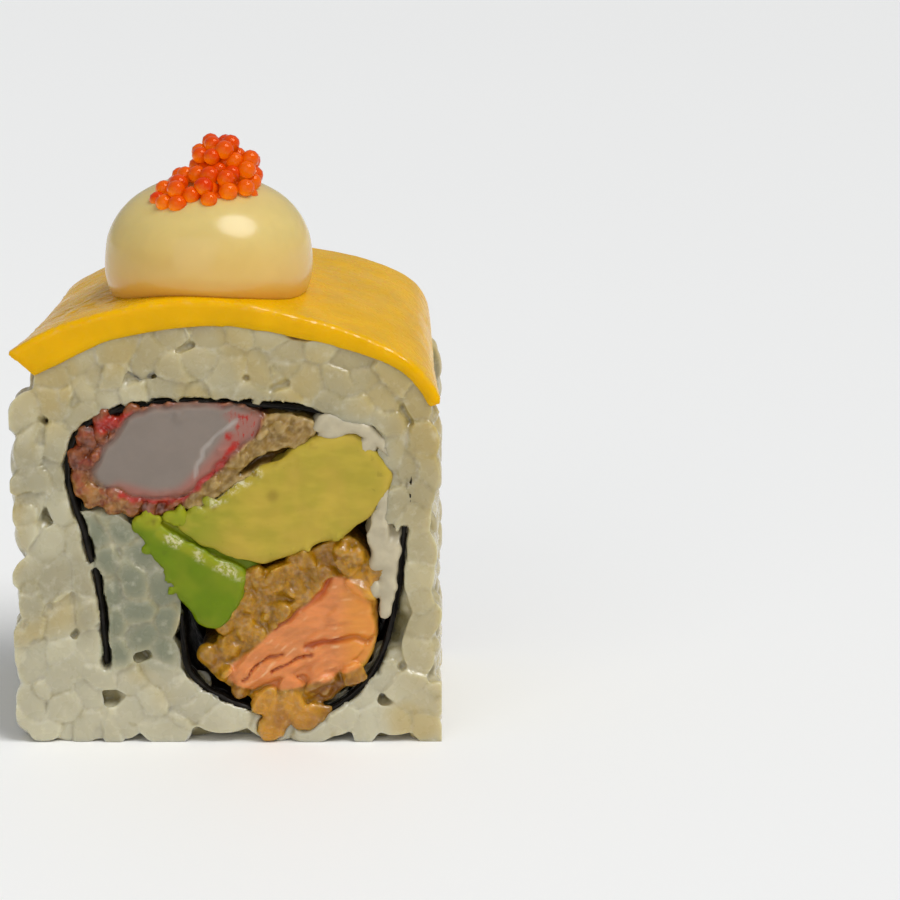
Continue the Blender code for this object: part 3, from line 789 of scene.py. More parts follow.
def grow_grains(bm, grains, seed):
    """Adds the grains to a bmesh and returns their places with their turns and radii."""
    rng = random.Random(seed)
    length, width = sizes().grain_length / MM / 2, sizes().grain_width / MM / 2
    made = []
    for place, along, normal in grains:
        size = rng.uniform(0.78, 1.1)
        radii = (length * size * rng.uniform(0.9, 1.1), width * size, width * size * rng.uniform(0.85, 1.0))
        turn = turned(along, normal)
        add_lump(bm, place, radii, turn, 2, rng.uniform(-0.35, 0.35))
        made.append((place, turn.transposed(), radii))
    return made


def grain_map(points, grains):
    """For each point: its grain's number, how far out it lies in it, and how near the next grain is."""
    own = np.full(len(points), 1e9)
    other = own.copy()
    which = np.zeros(len(points), int)
    for k, (place, turn, radii) in enumerate(grains):
        rank = np.linalg.norm((points - np.array(place)) @ np.array(turn).T / np.array(radii), axis=1)
        closer = rank < own
        other = np.where(closer, own, np.minimum(other, rank))
        which[closer] = k
        own = np.minimum(own, rank)
    return which, own, np.clip(1 - (other - own) / 0.25, 0, 1)


def sheet_gap(points):
    """Where the rice leaves the seaweed's edge bare, all along the left and in part elsewhere, and how
    near to that each point is."""
    x, z = points[:, 0], points[:, 2]
    near = line_distance(points[:, [0, 2]], smooth_line(NORI_LINE, 4)) + 0.32 * ripple(points, 1.7, 19)
    left = step(x, -11.0, -12.0) * step(ripple(points, 2.4, 24), -0.5, -0.3)
    right = step(x, 15.0, 16.0) * step(z, 23.5, 22.5) * step(ripple(points, 3.0, 23), -0.3, -0.05)
    top = step(z, 33.0, 34.0) * step(x, 9.0, 8.0) * step(ripple(points, 1.8, 20), -0.3, 0.0)
    shown = np.maximum.reduce([left, right, top])
    return step(near, 0.45, 0.25) * shown, step(near, 1.0, 0.45) * shown


def bare_depth(points, gap):
    """How far behind the cuts the rice ends: deep where the seaweed or what it wraps shows, less deep
    under the loose crust."""
    face = points[:, [0, 2]]
    inside_sheet = step(depth_inside(face, NORI_LINE) + 0.45 * ripple(points, 1.5, 25), -0.1, 0.1)
    inner_rice = (face[:, 0] < -4.6) & (face[:, 1] + ripple(points, 1.6, 35) < 25.7)
    leaning = (face[:, 0] > 8.5) & (face[:, 1] > 22.5)
    bare = np.maximum(gap, inside_sheet * ~(inner_rice | leaning))
    under_crust = step(spot_distance(face, LOOSE_CRUST), 1.7, 1.2) * (points[:, 1] < 0)
    return np.maximum(2.6 * bare, 1.5 * under_crust)


def slice_rice(mesh, grains, rng):
    """Cuts the rice off at the knife's cuts and the board, each grain at its own depth and slant. Says of
    each point what grain_map says, with the rice beside bare seaweed counted as a crease, so that it gets
    the creases' painted highlight and shade."""
    depths = 0.08 + 0.45 * rng.random(len(grains)) ** 1.5
    slants = rng.uniform(-0.1, 0.1, (len(grains), 2))
    places = np.array([place for place, _, _ in grains])
    points, normals = read_points(mesh), read_normals(mesh)
    flat = points.copy()
    flat[:, 1] = np.clip(flat[:, 1], -CUT + 0.6, CUT - 0.6)
    which, own, crease = grain_map(flat, grains)
    at_cut = np.abs(points[:, 1]) > CUT - 2.4
    points -= normals * (0.12 * crease * ~at_cut)[:, None]
    across = points[:, [0, 2]] - places[which][:, [0, 2]]
    tilt = (across * slants[which]).sum(1)
    limit = CUT - depths[which] - np.maximum(0, tilt) - 0.15 * own**2 - 0.1 * crease**2
    gap, beside = sheet_gap(points)
    limit = np.minimum(limit, CUT - bare_depth(points, gap))
    points[:, 1] = np.sign(points[:, 1]) * np.minimum(limit, np.abs(points[:, 1]))
    points[:, 2] = np.maximum(points[:, 2], 0)
    write_points(mesh, within_box(points))
    softened = bmesh.new()
    softened.from_mesh(mesh)
    along = {"use_axis_x": True, "use_axis_y": True, "use_axis_z": True}
    bmesh.ops.smooth_vert(softened, verts=softened.verts, factor=0.5, **along)
    softened.to_mesh(mesh)
    softened.free()
    return which, own, np.maximum(crease, 0.9 * beside * at_cut)


def slice_and_mark(mesh, grains, mango, seed):
    """Slices the rice and paints the grains' tones, a painted highlight on their rims, painted highlight
    and shade in the creases between them, painted shade in the hollows, juice from the fruit with a painted
    reflection of the mango near it and painted shade at the right side, painted bounce light on the rice
    near the board, and the rice inside the seaweed."""
    rng = np.random.default_rng(seed)
    which, own, crease = slice_rice(mesh, grains, rng)
    points, facing = read_points(mesh), read_normals(mesh)[:, 1]
    away = np.array([mango.find_nearest(Vector(p))[3] for p in points])
    x, z = points[:, 0], points[:, 2]
    # real juice blotches, plus a painted reflection of the mango near it and painted shade towards the
    # right side
    fruit_stain_and_light_field = ripple(points, 5.0, 3) + 0.6 * step(away, 8.0, 0.5) + 0.15 * step(x, 12.0, 20.0)
    stain = np.maximum(step(fruit_stain_and_light_field, 0.05, 0.75), 0.6 * step(away, 9.0, 2.0) + 0.45 * step(x, 15.0, 20.0))
    below = step(z, 7.0, 9.5) * step(z, 16.0, 15.0) * step(x, -12.6, -12.2) * step(x, -4.0, -6.0)
    inner = np.maximum(step(depth_inside(points[:, [0, 2]], NORI_LINE), -0.1, 0.2), below)
    # how deep rice lies behind the cut, for the painted shade in the hollows
    deep = step(CUT - np.abs(points[:, 1]), 0.9, 1.5) * (np.abs(points[:, 1]) > CUT - 5.0)
    paint(
        mesh,
        tone=rng.random(len(grains))[which] ** 1.6,
        # how far out in its grain each point lies, for the painted highlight on the rims
        rim=np.clip(own, 0, 1),
        crease=crease,
        hollow=deep * step(np.abs(facing), 0.4, 0.7),
        stain=stain,
        # painted bounce light, lighter towards the board
        pale=step(z, 14.0, 4.0),
        inner=inner * step(x, -2.0, -4.0) * step(np.abs(points[:, 1]), 6.0, 9.0),
    )


def build_rice():
    surface, mango, nori = surface_of("rice"), surface_of("mango_slice"), surface_of("nori")
    gap = sizes().grain_gap / MM
    outside = side_grains(surface, mango, gap * 1.08, 101)
    layers = ((0.2, 1.2), (1.8, 2.5), (3.0, 3.6))
    front = [g for k, depth in enumerate(layers) for g in cut_grains(surface, -1, depth, gap, 11 + 2 * k)]
    back = [g for k, depth in enumerate(layers) for g in cut_grains(surface, 1, depth, gap, 23 + 2 * k)]
    near = front + [g for g in outside if g[0].y < -11.0]
    rest = back + [g for g in outside if g[0].y >= -11.0]
    material = rice_material()
    pieces = (
        ("rice_near_cut", near, None, 0.27, 1, 31, 41),
        ("rice_coat", rest, rice_core(solid("rice"), nori), 0.42, 2, 37, 43),
    )
    for name, grains, core, voxel, smoothing, grain_seed, cut_seed in pieces:
        bm = bmesh.new()
        if core:
            bm.from_mesh(core)
        grown = grow_grains(bm, grains, grain_seed)
        mesh = fuse(bm, voxel, smoothing)
        drop_scraps(mesh, 2.0)
        slice_and_mark(mesh, grown, mango, cut_seed)
        finish_piece(name, mesh, material, "rice", "rice")


# Seaweed


def nori_material():
    material, wire = new_food("nori")
    base = wire.grainy(0.5, 3.0).between(0.4, 0.7).blend(tuple(colours().nori), shade(colours().nori, 2.2))
    return finish_food(
        material,
        {
            "Base Color": base,
            "Roughness": wire.grainy(0.8, 2.0).between(0.3, 0.7, 0.3, 0.6),
            "Normal": wire.grainy(0.3, 3.0).bump(0.1, 1.0),
            "Specular IOR Level": 0.2,
        },
    )


def build_nori():
    line = smooth_line(NORI_LINE, 14)
    half = sizes().sheet_width / MM / 2
    sides = []
    for before, at, after in zip([line[0], *line], line, [*line[1:], line[-1]]):
        way = (after - before).normalized()
        sides.append(Vector((-way.y, way.x)) * half)
    outline = [p + s for p, s in zip(line, sides)] + [p - s for p, s in zip(line[::-1], sides[::-1])]
    reach = CUT - 0.55
    edge = [reach - 0.4 * k for k in range(8)]
    stations = [-y for y in edge] + [-6.0, 0.0, 6.0] + edge[::-1]
    mesh = to_mesh(loft([(y, outline) for y in stations]), "sheet")
    points = read_points(mesh)
    wave = 0.14 * ripple(points, 2.0, 5) + 0.06 * ripple(points, 0.8, 4)
    ragged = 0.35 * step(ripple(points * np.array([1.0, 0, 1.0]), 1.6, 34), -0.5, 0.5)
    points += wave[:, None] * np.array([1.0, 0, 1.0])
    points[:, 1] *= 1 - ragged / CUT
    write_points(mesh, within_box(points))
    finish_piece("nori_sheet", mesh, nori_material(), "nori", "nori")


# Fried fillings


def crumbs(bm, node, bare, seed, kinds):
    """Adds crumbs on both cut faces of a fried filling, outside its bare outlines: for each kind, how
    large they are beside the usual crumb, and how many places are tried."""
    surface = surface_of(node)
    low, high = (Vector(corner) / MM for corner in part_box(node))
    size = sizes().crumb_size / MM / 2

    def draw(rng):
        x, z = rng.uniform(low.x, high.x), rng.uniform(low.z, high.z)
        if max(depth_inside(np.array([[x, z]]), outline)[0] for outline in bare) > 0.1:
            return None
        side = rng.choice((-1, 1))
        hit = surface.ray_cast(Vector((x, side * 40, z)), Vector((0, -side, 0)))[0]
        if hit is None or side * hit.y < CUT - 1.6:
            return None
        return (Vector((x, min(CUT - 0.5, side * hit.y) * side, z)),)

    rng = random.Random(seed + 1)
    for scale, spots in kinds:
        for (place,) in scatter(draw, spots, size * scale * 1.4, seed):
            radii = [size * scale * rng.uniform(0.7, 1.3) * flatness for flatness in (1.3, 0.55, 0.9)]
            spin = Matrix.Rotation(rng.uniform(0, math.tau), 3, "Y")
            slant = Matrix.Rotation(rng.gauss(0, 0.4), 3, "X") @ Matrix.Rotation(rng.gauss(0, 0.4), 3, "Z")
            add_lump(bm, place, radii, slant @ spin, 1, 0.0, rng)


def crust_gloss(wire, flesh):
    """Sockets for the greasy glints on a fried crust, which the bare flesh lacks."""
    return {
        "Coat Weight": (1 - flesh) * wire.grainy(0.5, 2.0).between(0.5, 0.6),
        "Coat Roughness": 0.06,
        "Specular IOR Level": 0.4,
    }


def crab_material():
    material, wire = new_food("crab_stick")
    c = colours()
    flesh, skin, batter, slit, fold = (wire.mask(n) for n in ("flesh", "skin", "batter", "slit", "fold"))
    mottle = wire.grainy(1.0, 4.0, 0.65)
    lit_tips = wire.tip_highlight_and_hollow_shade().between(0.48, 0.58)
    crust = mottle.between(0.35, 0.65).blend(shade(c.crab_crust, 0.6), shade(c.crab_crust, 1.1))
    crust = (wire.mask("gold") * mottle.between(0.3, 0.6)).blend(crust, srgb(160, 112, 52))
    crust = wire.grainy(1.6, 2.0).between(0.5, 0.62, 0.0, 0.5).blend(crust, srgb(140, 34, 20))
    # painted highlight on the tips of the crust's crumbs
    crust = (lit_tips * 0.3).blend(crust, srgb(186, 118, 62))
    pale = mottle.between(0.3, 0.7).blend(shade(c.batter, 0.68), shade(c.batter, 1.1))
    # painted highlight on the tips of the batter
    pale = (lit_tips * 0.5).blend(pale, srgb(206, 180, 122))
    base = batter.blend(crust, pale)
    core = wire.grainy(2.2, 3.0).between(0.3, 0.7, 0.0, 0.5).blend(tuple(c.crab), shade(c.crab, 0.86))
    core = wire.mask("blush").between(0.0, 1.0, 0.0, 0.55).blend(core, srgb(176, 84, 66))
    streaks = wire.grainy(0.7, 3.0, 0.6, (1.8, 1.0, 0.7)).between(0.5, 0.66)
    core = (wire.mask("flap") * streaks).blend(core, tuple(c.crab_skin))
    base = wire.mask("soft_flesh").blend(base, core)
    base = (fold * 0.6).blend(base, srgb(196, 184, 174))
    base = (skin * mottle.between(0.3, 0.55, 0.35, 1.0)).blend(base, tuple(c.crab_skin))
    # painted shade: the slit carved in the batter is darkened brown
    base = slit.blend(base, srgb(104, 74, 24))
    return finish_food(
        material,
        {
            "Base Color": base,
            "Roughness": flesh.between(0.0, 1.0, 0.34, 0.26),
            "Normal": (mottle * (1.1 - flesh)).bump(0.14, 0.6),
            **crust_gloss(wire, flesh),
            **flesh_depth(0.4, 1.2, (1.0, 0.7, 0.5)),
        },
    )


def build_crab_stick():
    bm = solid("crab_stick")
    crumbs(bm, "crab_stick", (CRAB_FLESH, BATTER), 61, ((1.7, 700), (0.9, 900)))
    add_bulges(bm, CRAB_BULGES, (0.95, 0.8, 1.1), 1.2)
    add_prism(bm, smooth_loop(CRAB_FLESH, 4), CUT - 0.4)
    add_prism(bm, smooth_loop(BATTER_BODY, 4), CUT - 0.75)
    mesh = fuse(bm, 0.23, 1)
    drop_scraps(mesh, 1.0)
    points, normals = read_points(mesh), read_normals(mesh)
    face = points[:, [0, 2]]
    wavy = wandering(points, 0.35, 1.3, 15, 16)
    cut = near_cuts(points)
    flesh = step(depth_inside(wavy, CRAB_FLESH), -0.15, 0.25)
    batter = step(depth_inside(wavy, BATTER), -0.4, 0.4) * (1 - flesh)
    slit = step(depth_inside(wavy, BATTER_SLIT), -0.15, 0.25) * cut
    skin = step(line_distance(wavy, smooth_line(CRAB_SKIN, 5)), 0.42, 0.12)
    patch = step(line_distance(wavy, [(-12.6, 33.6), (-9.8, 34.6)]), 1.0, 0.3)
    skin = np.maximum(skin, patch * (1 - flesh))
    skin = np.maximum(skin, step(np.hypot(face[:, 0] - 0.4, face[:, 1] - 32.7), 0.55, 0.3))
    fold = step(line_distance(wavy, smooth_line(CRAB_FOLD, 5)), 0.34, 0.08) * cut
    blush = step(line_distance(face, smooth_line(CRAB_SKIN, 5)), 2.2, 0.3)
    flap = step(depth_inside(wavy, CRAB_FLAP), -0.3, 0.8)
    blush = np.maximum(blush, 0.8 * flap)
    rim = 0.4 * step(depth_inside(wavy, CRAB_FLESH), 0.7, 0.0) * cut
    inward = np.sign(points[:, 1]) * (1.9 * slit + rim * flesh + 0.25 * fold + 0.2 * flap)
    rough = (0.1 * crags(points, 1.5, 6) + 0.07 * crags(points, 0.6, 7)) * (1 - flesh)
    points += normals * (0.2 + rough + 0.07 * ripple(points, 3.0, 8))[:, None]
    points[:, 1] -= inward
    write_points(mesh, within_box(points))
    gold = step(face[:, 1], 29.5, 27.5) * step(face[:, 0], -8.5, -11.0)
    soft_flesh = np.maximum(step(depth_inside(wavy, CRAB_FLESH), -0.35, 0.8), flap * flesh)
    paint(mesh, flesh=flesh, skin=skin, batter=batter, slit=slit, fold=fold)
    paint(mesh, blush=blush, flap=flap, gold=gold, soft_flesh=soft_flesh)
    finish_piece("crab_stick_fried", mesh, crab_material(), "crab_stick", "crab_stick")


def salmon_material():
    material, wire = new_food("salmon")
    c = colours()
    flesh, seam, brown, pale, gold = (wire.mask(n) for n in ("flesh", "seam", "brown", "pale", "gold"))
    mottle = wire.grainy(0.8, 4.0, 0.65)
    lit_tips = wire.tip_highlight_and_hollow_shade().between(0.49, 0.58)
    pits = wire.tip_highlight_and_hollow_shade().between(0.49, 0.42)
    crust = mottle.between(0.35, 0.65).blend(shade(c.salmon_crust, 0.62), shade(c.salmon_crust, 1.1))
    crust = wire.grainy(2.6, 2.0).between(0.4, 0.65, 0.0, 0.5).blend(crust, shade(c.salmon_crust, 0.6))
    crust = (gold * 0.7).blend(crust, srgb(226, 158, 56))
    crust = (brown * 0.7).blend(crust, srgb(116, 58, 20))
    # painted highlight on the tips of the crust's crumbs
    crust = (lit_tips * 0.3).blend(crust, srgb(216, 178, 76))
    # painted shade in the pits between the crumbs
    crust = (pits * 0.35).blend(crust, srgb(116, 72, 14))
    fibre = wire.grainy(1.2, 3.0, 0.6, (0.7, 1.0, 1.3))
    meat = fibre.between(0.3, 0.7).blend(shade(c.salmon, 0.88), shade(c.salmon, 1.08))
    # painted shade: the gaps between the flakes are darkened to a deep orange
    meat = (seam * 0.7).blend(meat, srgb(196, 78, 22))
    meat = (pale * 0.7).blend(meat, srgb(236, 192, 144))
    meat = (gold * 0.6).blend(meat, srgb(226, 150, 46))
    base = flesh.blend(crust, meat)
    return finish_food(
        material,
        {
            "Base Color": base,
            "Roughness": flesh.between(0.0, 1.0, 0.3, 0.34),
            "Normal": (mottle * (1.2 - flesh) + fibre * flesh * 0.5).bump(0.12, 0.6),
            **crust_gloss(wire, flesh),
            **flesh_depth(0.5, 1.3, (1.0, 0.5, 0.2)),
        },
    )


def build_salmon():
    bm = solid("salmon_tempura")
    crumbs(bm, "salmon_tempura", (SALMON_FLESH,), 67, ((2.6, 500), (1.2, 500)))
    add_bulges(bm, CRUST_BULGES, (1.1, 0.9, 1.2), 1.1)
    add_bulges(bm, LOOSE_CRUST, (1.5, 1.0, 1.4), 1.2, sides=(-1,))
    mesh = fuse(bm, 0.23, 2)
    drop_scraps(mesh, 1.0)
    points, normals = read_points(mesh), read_normals(mesh)
    face = points[:, [0, 2]]
    wavy = wandering(points, 0.4, 1.6, 12, 17)
    over = spot_distance(face, LOOSE_CRUST)
    flesh = step(depth_inside(wavy, SALMON_FLESH), -0.1, 0.3) * step(over, 1.5, 2.1)
    x, z = face[:, 0], face[:, 1]
    cut = near_cuts(points)
    gap_depth = np.zeros(len(points))
    for line, width in FLAKE_GAPS:
        gap_depth = np.maximum(gap_depth, step(line_distance(wavy, smooth_line(line, 5)), width * 0.8, 0.0))
    layer = (0.9 * z - 0.4 * x + 0.03 * (x - 8.0) ** 2) / 0.9 + 0.9 * ripple(points, 2.5, 18)
    fine = np.abs(layer - np.floor(layer) - 0.5) * 2
    pale = step(fine, 0.25, 0.0) * step(ripple(points, 1.6, 9), 0.05, 0.4)
    inward = flesh * cut * (0.7 * gap_depth + 0.12 * fine)
    crusty = 0.9 * ripple(points, 2.2, 10) + 0.3 * crags(points, 1.4, 11)
    inward += (1 - flesh) * cut * (0.3 - 0.25 * crusty) * step(over, 0.8, 2.0)
    points += normals * (0.12 + 0.1 * crusty * (1 - flesh) + 0.2 * ripple(points, 2.0, 13) * flesh)[:, None]
    points[:, 1] -= np.sign(points[:, 1]) * inward
    write_points(mesh, within_box(points))
    brown = step(z - 0.12 * x, 6.6, 4.6) * step(over, 1.8, 2.6)
    brown = np.maximum(brown, step(ripple(points, 2.4, 14), 0.2, 0.5) * 0.5)
    gold = step(x, 10.8, 13.2) * step(z, 6.5, 9.0) * step(z, 18.5, 16.0)
    gold = np.maximum(gold, 0.5 * step(over, 1.8, 1.2))
    # seam: painted shade in the flake gaps
    paint(mesh, flesh=flesh, seam=gap_depth * flesh, brown=brown, pale=pale * flesh, gold=gold)
    finish_piece("salmon_fried", mesh, salmon_material(), "salmon", "salmon_tempura")


# Soft fillings


def avocado_material(name, flesh, edge, ripe):
    material, wire = new_food(name)
    cloud = wire.grainy(4.0, 2.0)
    base = cloud.between(0.35, 0.65).blend(tuple(flesh), ripe)
    base = wire.mask("edge").blend(base, edge)
    specks = wire.grainy(1.1, 2.0).between(0.68, 0.76, 0.0, 0.35)
    base = specks.blend(base, shade(flesh, 0.55))
    streaks = wire.grainy(1.6, 2.0, 0.5, (0.5, 1.0, 1.1)).between(0.4, 0.7, 0.0, 0.35)
    base = streaks.blend(base, shade(ripe, 1.25))
    sparkle = wire.grainy(0.35, 2.0)
    # painted glints: whitish sparkle dots on the wet smears and along the green slice's ridge; the smears'
    # gloss is real
    base = (wire.mask("smear") * sparkle.between(0.4, 0.6)).blend(base, srgb(216, 208, 168))
    base = (wire.mask("bruise") * 0.6).blend(base, srgb(116, 84, 28))
    return finish_food(
        material,
        {
            "Base Color": base,
            "Roughness": wire.grainy(1.5, 2.0).between(0.3, 0.7, 0.3, 0.45),
            "Normal": (wire.grainy(0.9, 3.0) + wire.mask("smear") * sparkle * 3.0).bump(0.05, 0.5),
            "Specular IOR Level": 0.2,
            "Coat Weight": wire.mask("smear"),
            "Coat Roughness": 0.05,
            **flesh_depth(0.35, 1.2, (1.0, 0.9, 0.25)),
        },
    )


def bits_along(lines, seed):
    """Small lumps strewn along lines: (x, z) and radii."""
    rng = random.Random(seed)
    made = []
    for line, count, size in lines:
        curve = smooth_line(line, 12)
        for _ in range(count):
            at = curve[rng.randrange(len(curve))] + Vector((rng.gauss(0, 0.3), rng.gauss(0, 0.3)))
            made.append((tuple(at), tuple(size * rng.uniform(0.6, 1.2) for _ in range(3))))
    return made


def soft_filling(node, voxel, smoothing, relief, seed, lumps=(), shelf=None):
    """A soft filling from its solid, with rounded edges, a gently uneven surface and lumps at both cuts."""
    bm = solid(node)
    if shelf:
        add_prism(bm, smooth_loop(shelf, 3), CUT - 1.3)
    for (x, z), radii in lumps:
        for side in (-1, 1):
            add_lump(bm, Vector((x, side * (CUT - 0.2 - radii[1]), z)), radii, Matrix.Identity(3), 1)
    mesh = fuse(bm, voxel, smoothing)
    points, normals = read_points(mesh), read_normals(mesh)
    uneven = relief * (ripple(points, 2.6, seed) + 0.35 * ripple(points, 0.8, seed + 1))
    sideways = (0.18 + 0.5 * ripple(points, 1.9, seed + 2)) * (1 - np.abs(normals[:, 1]))
    points += normals * (0.12 + uneven + sideways)[:, None]
    write_points(mesh, within_box(points))
    return mesh


def build_avocado():
    c = colours()
    mesh = soft_filling("avocado_slice", 0.27, 3, 0.14, 20, bits_along(AVOCADO_BITS, 26))
    points = read_points(mesh)
    face = points[:, [0, 2]]
    smear = step(line_distance(face, [(0.6, 27.2), (3.2, 28.7)]), 0.8, 0.2)
    smear = np.maximum(smear, 0.8 * step(line_distance(face, [(-2.4, 25.2), (-0.2, 26.2)]), 0.7, 0.2))
    bruise = 0.6 * step(np.hypot(face[:, 0] - 4.8, face[:, 1] - 26.4), 0.9, 0.2)
    upper_left = step(face[:, 1] - 0.6 * face[:, 0], 24, 27)
    bruise = np.maximum(bruise, step(ripple(points, 1.0, 27), 0.3, 0.6) * upper_left)
    paint(mesh, smear=smear * step(ripple(points, 1.0, 22), -0.4, 0.1), bruise=bruise)
    paint(mesh, edge=step(points[:, 0] - 0.4 * (points[:, 2] - 25), 4.0, -4.0) * 0.85)
    flesh = avocado_material("avocado_yellow", c.avocado, srgb(138, 148, 30), srgb(188, 162, 62))
    finish_piece("avocado_yellow", mesh, flesh, "avocado", "avocado_slice")

    mesh = soft_filling("avocado_green_slice", 0.25, 2, 0.16, 24, bits_along(GREEN_BITS, 28), GREEN_SHELF)
    points = read_points(mesh)
    face = points[:, [0, 2]]
    ridge = step(line_distance(face, [(-6.8, 22.4), (-4.2, 20.9), (-1.6, 19.4), (1.3, 17.9)]), 0.8, 0.2)
    top = step(points[:, 2] + 0.2 * points[:, 0], 20.8, 22.0)
    # the green slice's ridge carries painted glints
    paint(mesh, smear=0.75 * ridge * step(ripple(points, 1.4, 29), -0.2, 0.1))
    paint(mesh, bruise=0.5 * top * step(ripple(points, 1.0, 33), 0.1, 0.4))
    # the ridge's lighter yellow-green is a painted highlight; the yellower top is the flesh's own colour
    paint(mesh, edge=np.maximum(ridge * 0.8, top * 0.9))
    flesh = avocado_material("avocado_green", c.avocado_green, srgb(156, 156, 30), srgb(104, 128, 0))
    finish_piece("avocado_green", mesh, flesh, "avocado_green", "avocado_green_slice")


def cream_material():
    material, wire = new_food("cream_cheese")
    cream = colours().cream
    base = wire.grainy(1.6, 3.0).between(0.3, 0.7).blend(tuple(cream), shade(cream, 0.84))
    return finish_food(
        material,
        {
            "Base Color": base,
            "Roughness": 0.34,
            "Normal": wire.grainy(1.0, 3.0).bump(0.1, 0.6),
            **flesh_depth(0.35, 1.2, (1.0, 0.9, 0.7)),
        },
    )


def build_cream_cheese():
    mesh = soft_filling("cream_cheese", 0.24, 3, 0.35, 30, CREAM_LUMPS)
    points = read_points(mesh)
    under_rice = step(points[:, 0] + 0.4 * ripple(points, 1.5, 36), 16.2, 16.9)
    limit = CUT - 1.6 * under_rice * step(points[:, 2], 20.5, 23.0)
    points[:, 1] = np.clip(points[:, 1], -limit, limit)
    write_points(mesh, points)
    finish_piece("cream_cheese_smear", mesh, cream_material(), "cream_cheese", "cream_cheese")


# Toppings


def slice_change(part):
    """How far the slice has changed to its far form at a part of the roll's length."""
    for (a, from_change), (b, to_change) in zip(SLICE_STATIONS, SLICE_STATIONS[1:]):
        if part <= b:
            return from_change + (to_change - from_change) * (part - a) / (b - a)
    return 1.0


def slice_line(near_points, far_points, part):
    """One line of the slice's section, (x, z), at a part of the roll's length."""
    change = slice_change(part)
    return smooth_line([Vector(a).lerp(Vector(b), change) for a, b in zip(near_points, far_points)], 6)


def mango_material():
    material, wire = new_food("mango")
    c = colours()
    cloud = wire.grainy(5.0, 3.0)
    fibres = wire.grainy(0.5, 3.0, 0.6, (0.28, 1.0, 1.5))
    base = cloud.between(0.3, 0.7).blend(tuple(c.mango), shade(c.mango, 0.88))
    base = fibres.between(0.55, 0.8, 0.0, 0.2).blend(base, srgb(238, 188, 26))
    base = (wire.mask("fibre") * 0.55).blend(base, srgb(150, 104, 26))
    wrinkles = wire.mask("rim") * wire.grainy(0.7, 2.0) * 4.0
    return finish_food(
        material,
        {
            "Base Color": base,
            "Roughness": wire.grainy(1.5, 3.0).between(0.35, 0.7, 0.2, 0.36),
            "Normal": (fibres * 0.5 + wire.grainy(1.4, 2.0) + wrinkles).bump(0.03, 0.4),
            "Specular IOR Level": 0.1,
            "Coat Weight": wire.mask("rim") * wire.grainy(0.7, 2.0).between(0.5, 0.58),
            "Coat Roughness": 0.05,
            **flesh_depth(0.35, 1.5, (1.0, 0.5, 0.02)),
        },
    )


def build_mango():
    stations = 12
    ends = [(0.0, 0.45), (0.005, 0.24), (0.012, 0.1), (0.022, 0.02)]
    middle = [(0.022 + 0.956 * k / stations, 0.0) for k in range(1, stations)]
    sections = []
    for part, inset in ends + middle + [(1 - p, i) for p, i in reversed(ends)]:
        top = slice_line(SLICE_TOP, FAR_SLICE_TOP, part)
        under = slice_line(SLICE_UNDERSIDE, FAR_SLICE_UNDERSIDE, part)
        outline = [p - Vector((0, inset)) for p in top] + [p + Vector((0, inset)) for p in under]
        sections.append((-CUT + 2 * CUT * part, outline))
    mesh = fuse(loft(sections), 0.28, 4)
    points, normals = read_points(mesh), read_normals(mesh)
    waves = 0.12 * ripple(points, 6.0, 51) + 0.02 * ripple(points * np.array([0.5, 1.0, 1.4]), 0.8, 52)
    tip = step(points[:, 0], -10.0, -13.0) * step(points[:, 0], -18.5, -16.0)
    tip *= step(np.abs(points[:, 1] + 8), 6.0, 2.0)
    pits = step(ripple(points * np.array([0.6, 1.0, 1.0]), 0.9, 53), 0.1, 0.5) * tip
    points += normals * (waves - 0.2 * pits)[:, None]
    write_points(mesh, within_box(points))
    rim = step(np.abs(points[:, 1]), CUT - 1.2, CUT - 0.5) * step(normals[:, 2], 0.1, 0.5)
    paint(mesh, fibre=pits, rim=rim)
    return finish_piece("mango_slice_ripe", mesh, mango_material(), "mango", "mango_slice")


def mayonnaise_material():
    material, wire = new_food("mayonnaise")
    c = colours()
    foot = wire.mask("foot")
    base = wire.grainy(3.0, 2.0).between(0.35, 0.65).blend(tuple(c.mayonnaise), shade(c.mayonnaise, 0.95))
    # painted reflection and shade: the dome grows darker orange towards its foot, as light thrown back from
    # the mango
    base = (foot * 0.75).blend(base, srgb(226, 164, 44))
    return finish_food(
        material,
        {
            "Base Color": base,
            "Roughness": 0.2,
            "Normal": wire.grainy(2.2, 2.0).bump(0.03, 0.25),
            "Specular IOR Level": 0.45,
            **flesh_depth(0.5, 1.8, (1.0, 0.7, 0.3)),
        },
    )


def settled_dome(height_at):
    """The dome of sauce, spun from its profile and settled on the fruit slice."""
    bm = bmesh.new()
    profile = smooth_line(DOME_PROFILE, 6)
    foot_radius, foot_height = DOME_PROFILE[-1]
    foot = [(foot_radius * (1 - k / 6), foot_height) for k in range(1, 7)]
    verts = [bm.verts.new((r, 0, h)) for r, h in [*profile, *foot]]
    edges = [bm.edges.new(pair) for pair in zip(verts, verts[1:])]
    turn = {"cent": (0, 0, 0), "axis": (0, 0, 1), "angle": math.tau, "steps": 72}
    bmesh.ops.spin(bm, geom=verts + edges, use_merge=True, **turn)
    bmesh.ops.remove_doubles(bm, verts=bm.verts, dist=1e-4)
    bmesh.ops.recalc_face_normals(bm, faces=bm.faces)
    peak = height_at(*DOME_MIDDLE)
    for v in bm.verts:
        lean = 1 + 0.008 * noise.noise(v.co / 8)
        v.co = Vector((v.co.x * lean + DOME_MIDDLE[0], v.co.y * lean + DOME_MIDDLE[1], v.co.z))
        settle = 1 - min(1.0, max(0.0, v.co.z / 4.0))
        v.co.z += peak + (height_at(v.co.x, v.co.y) - peak) * settle + 0.1
    return bm


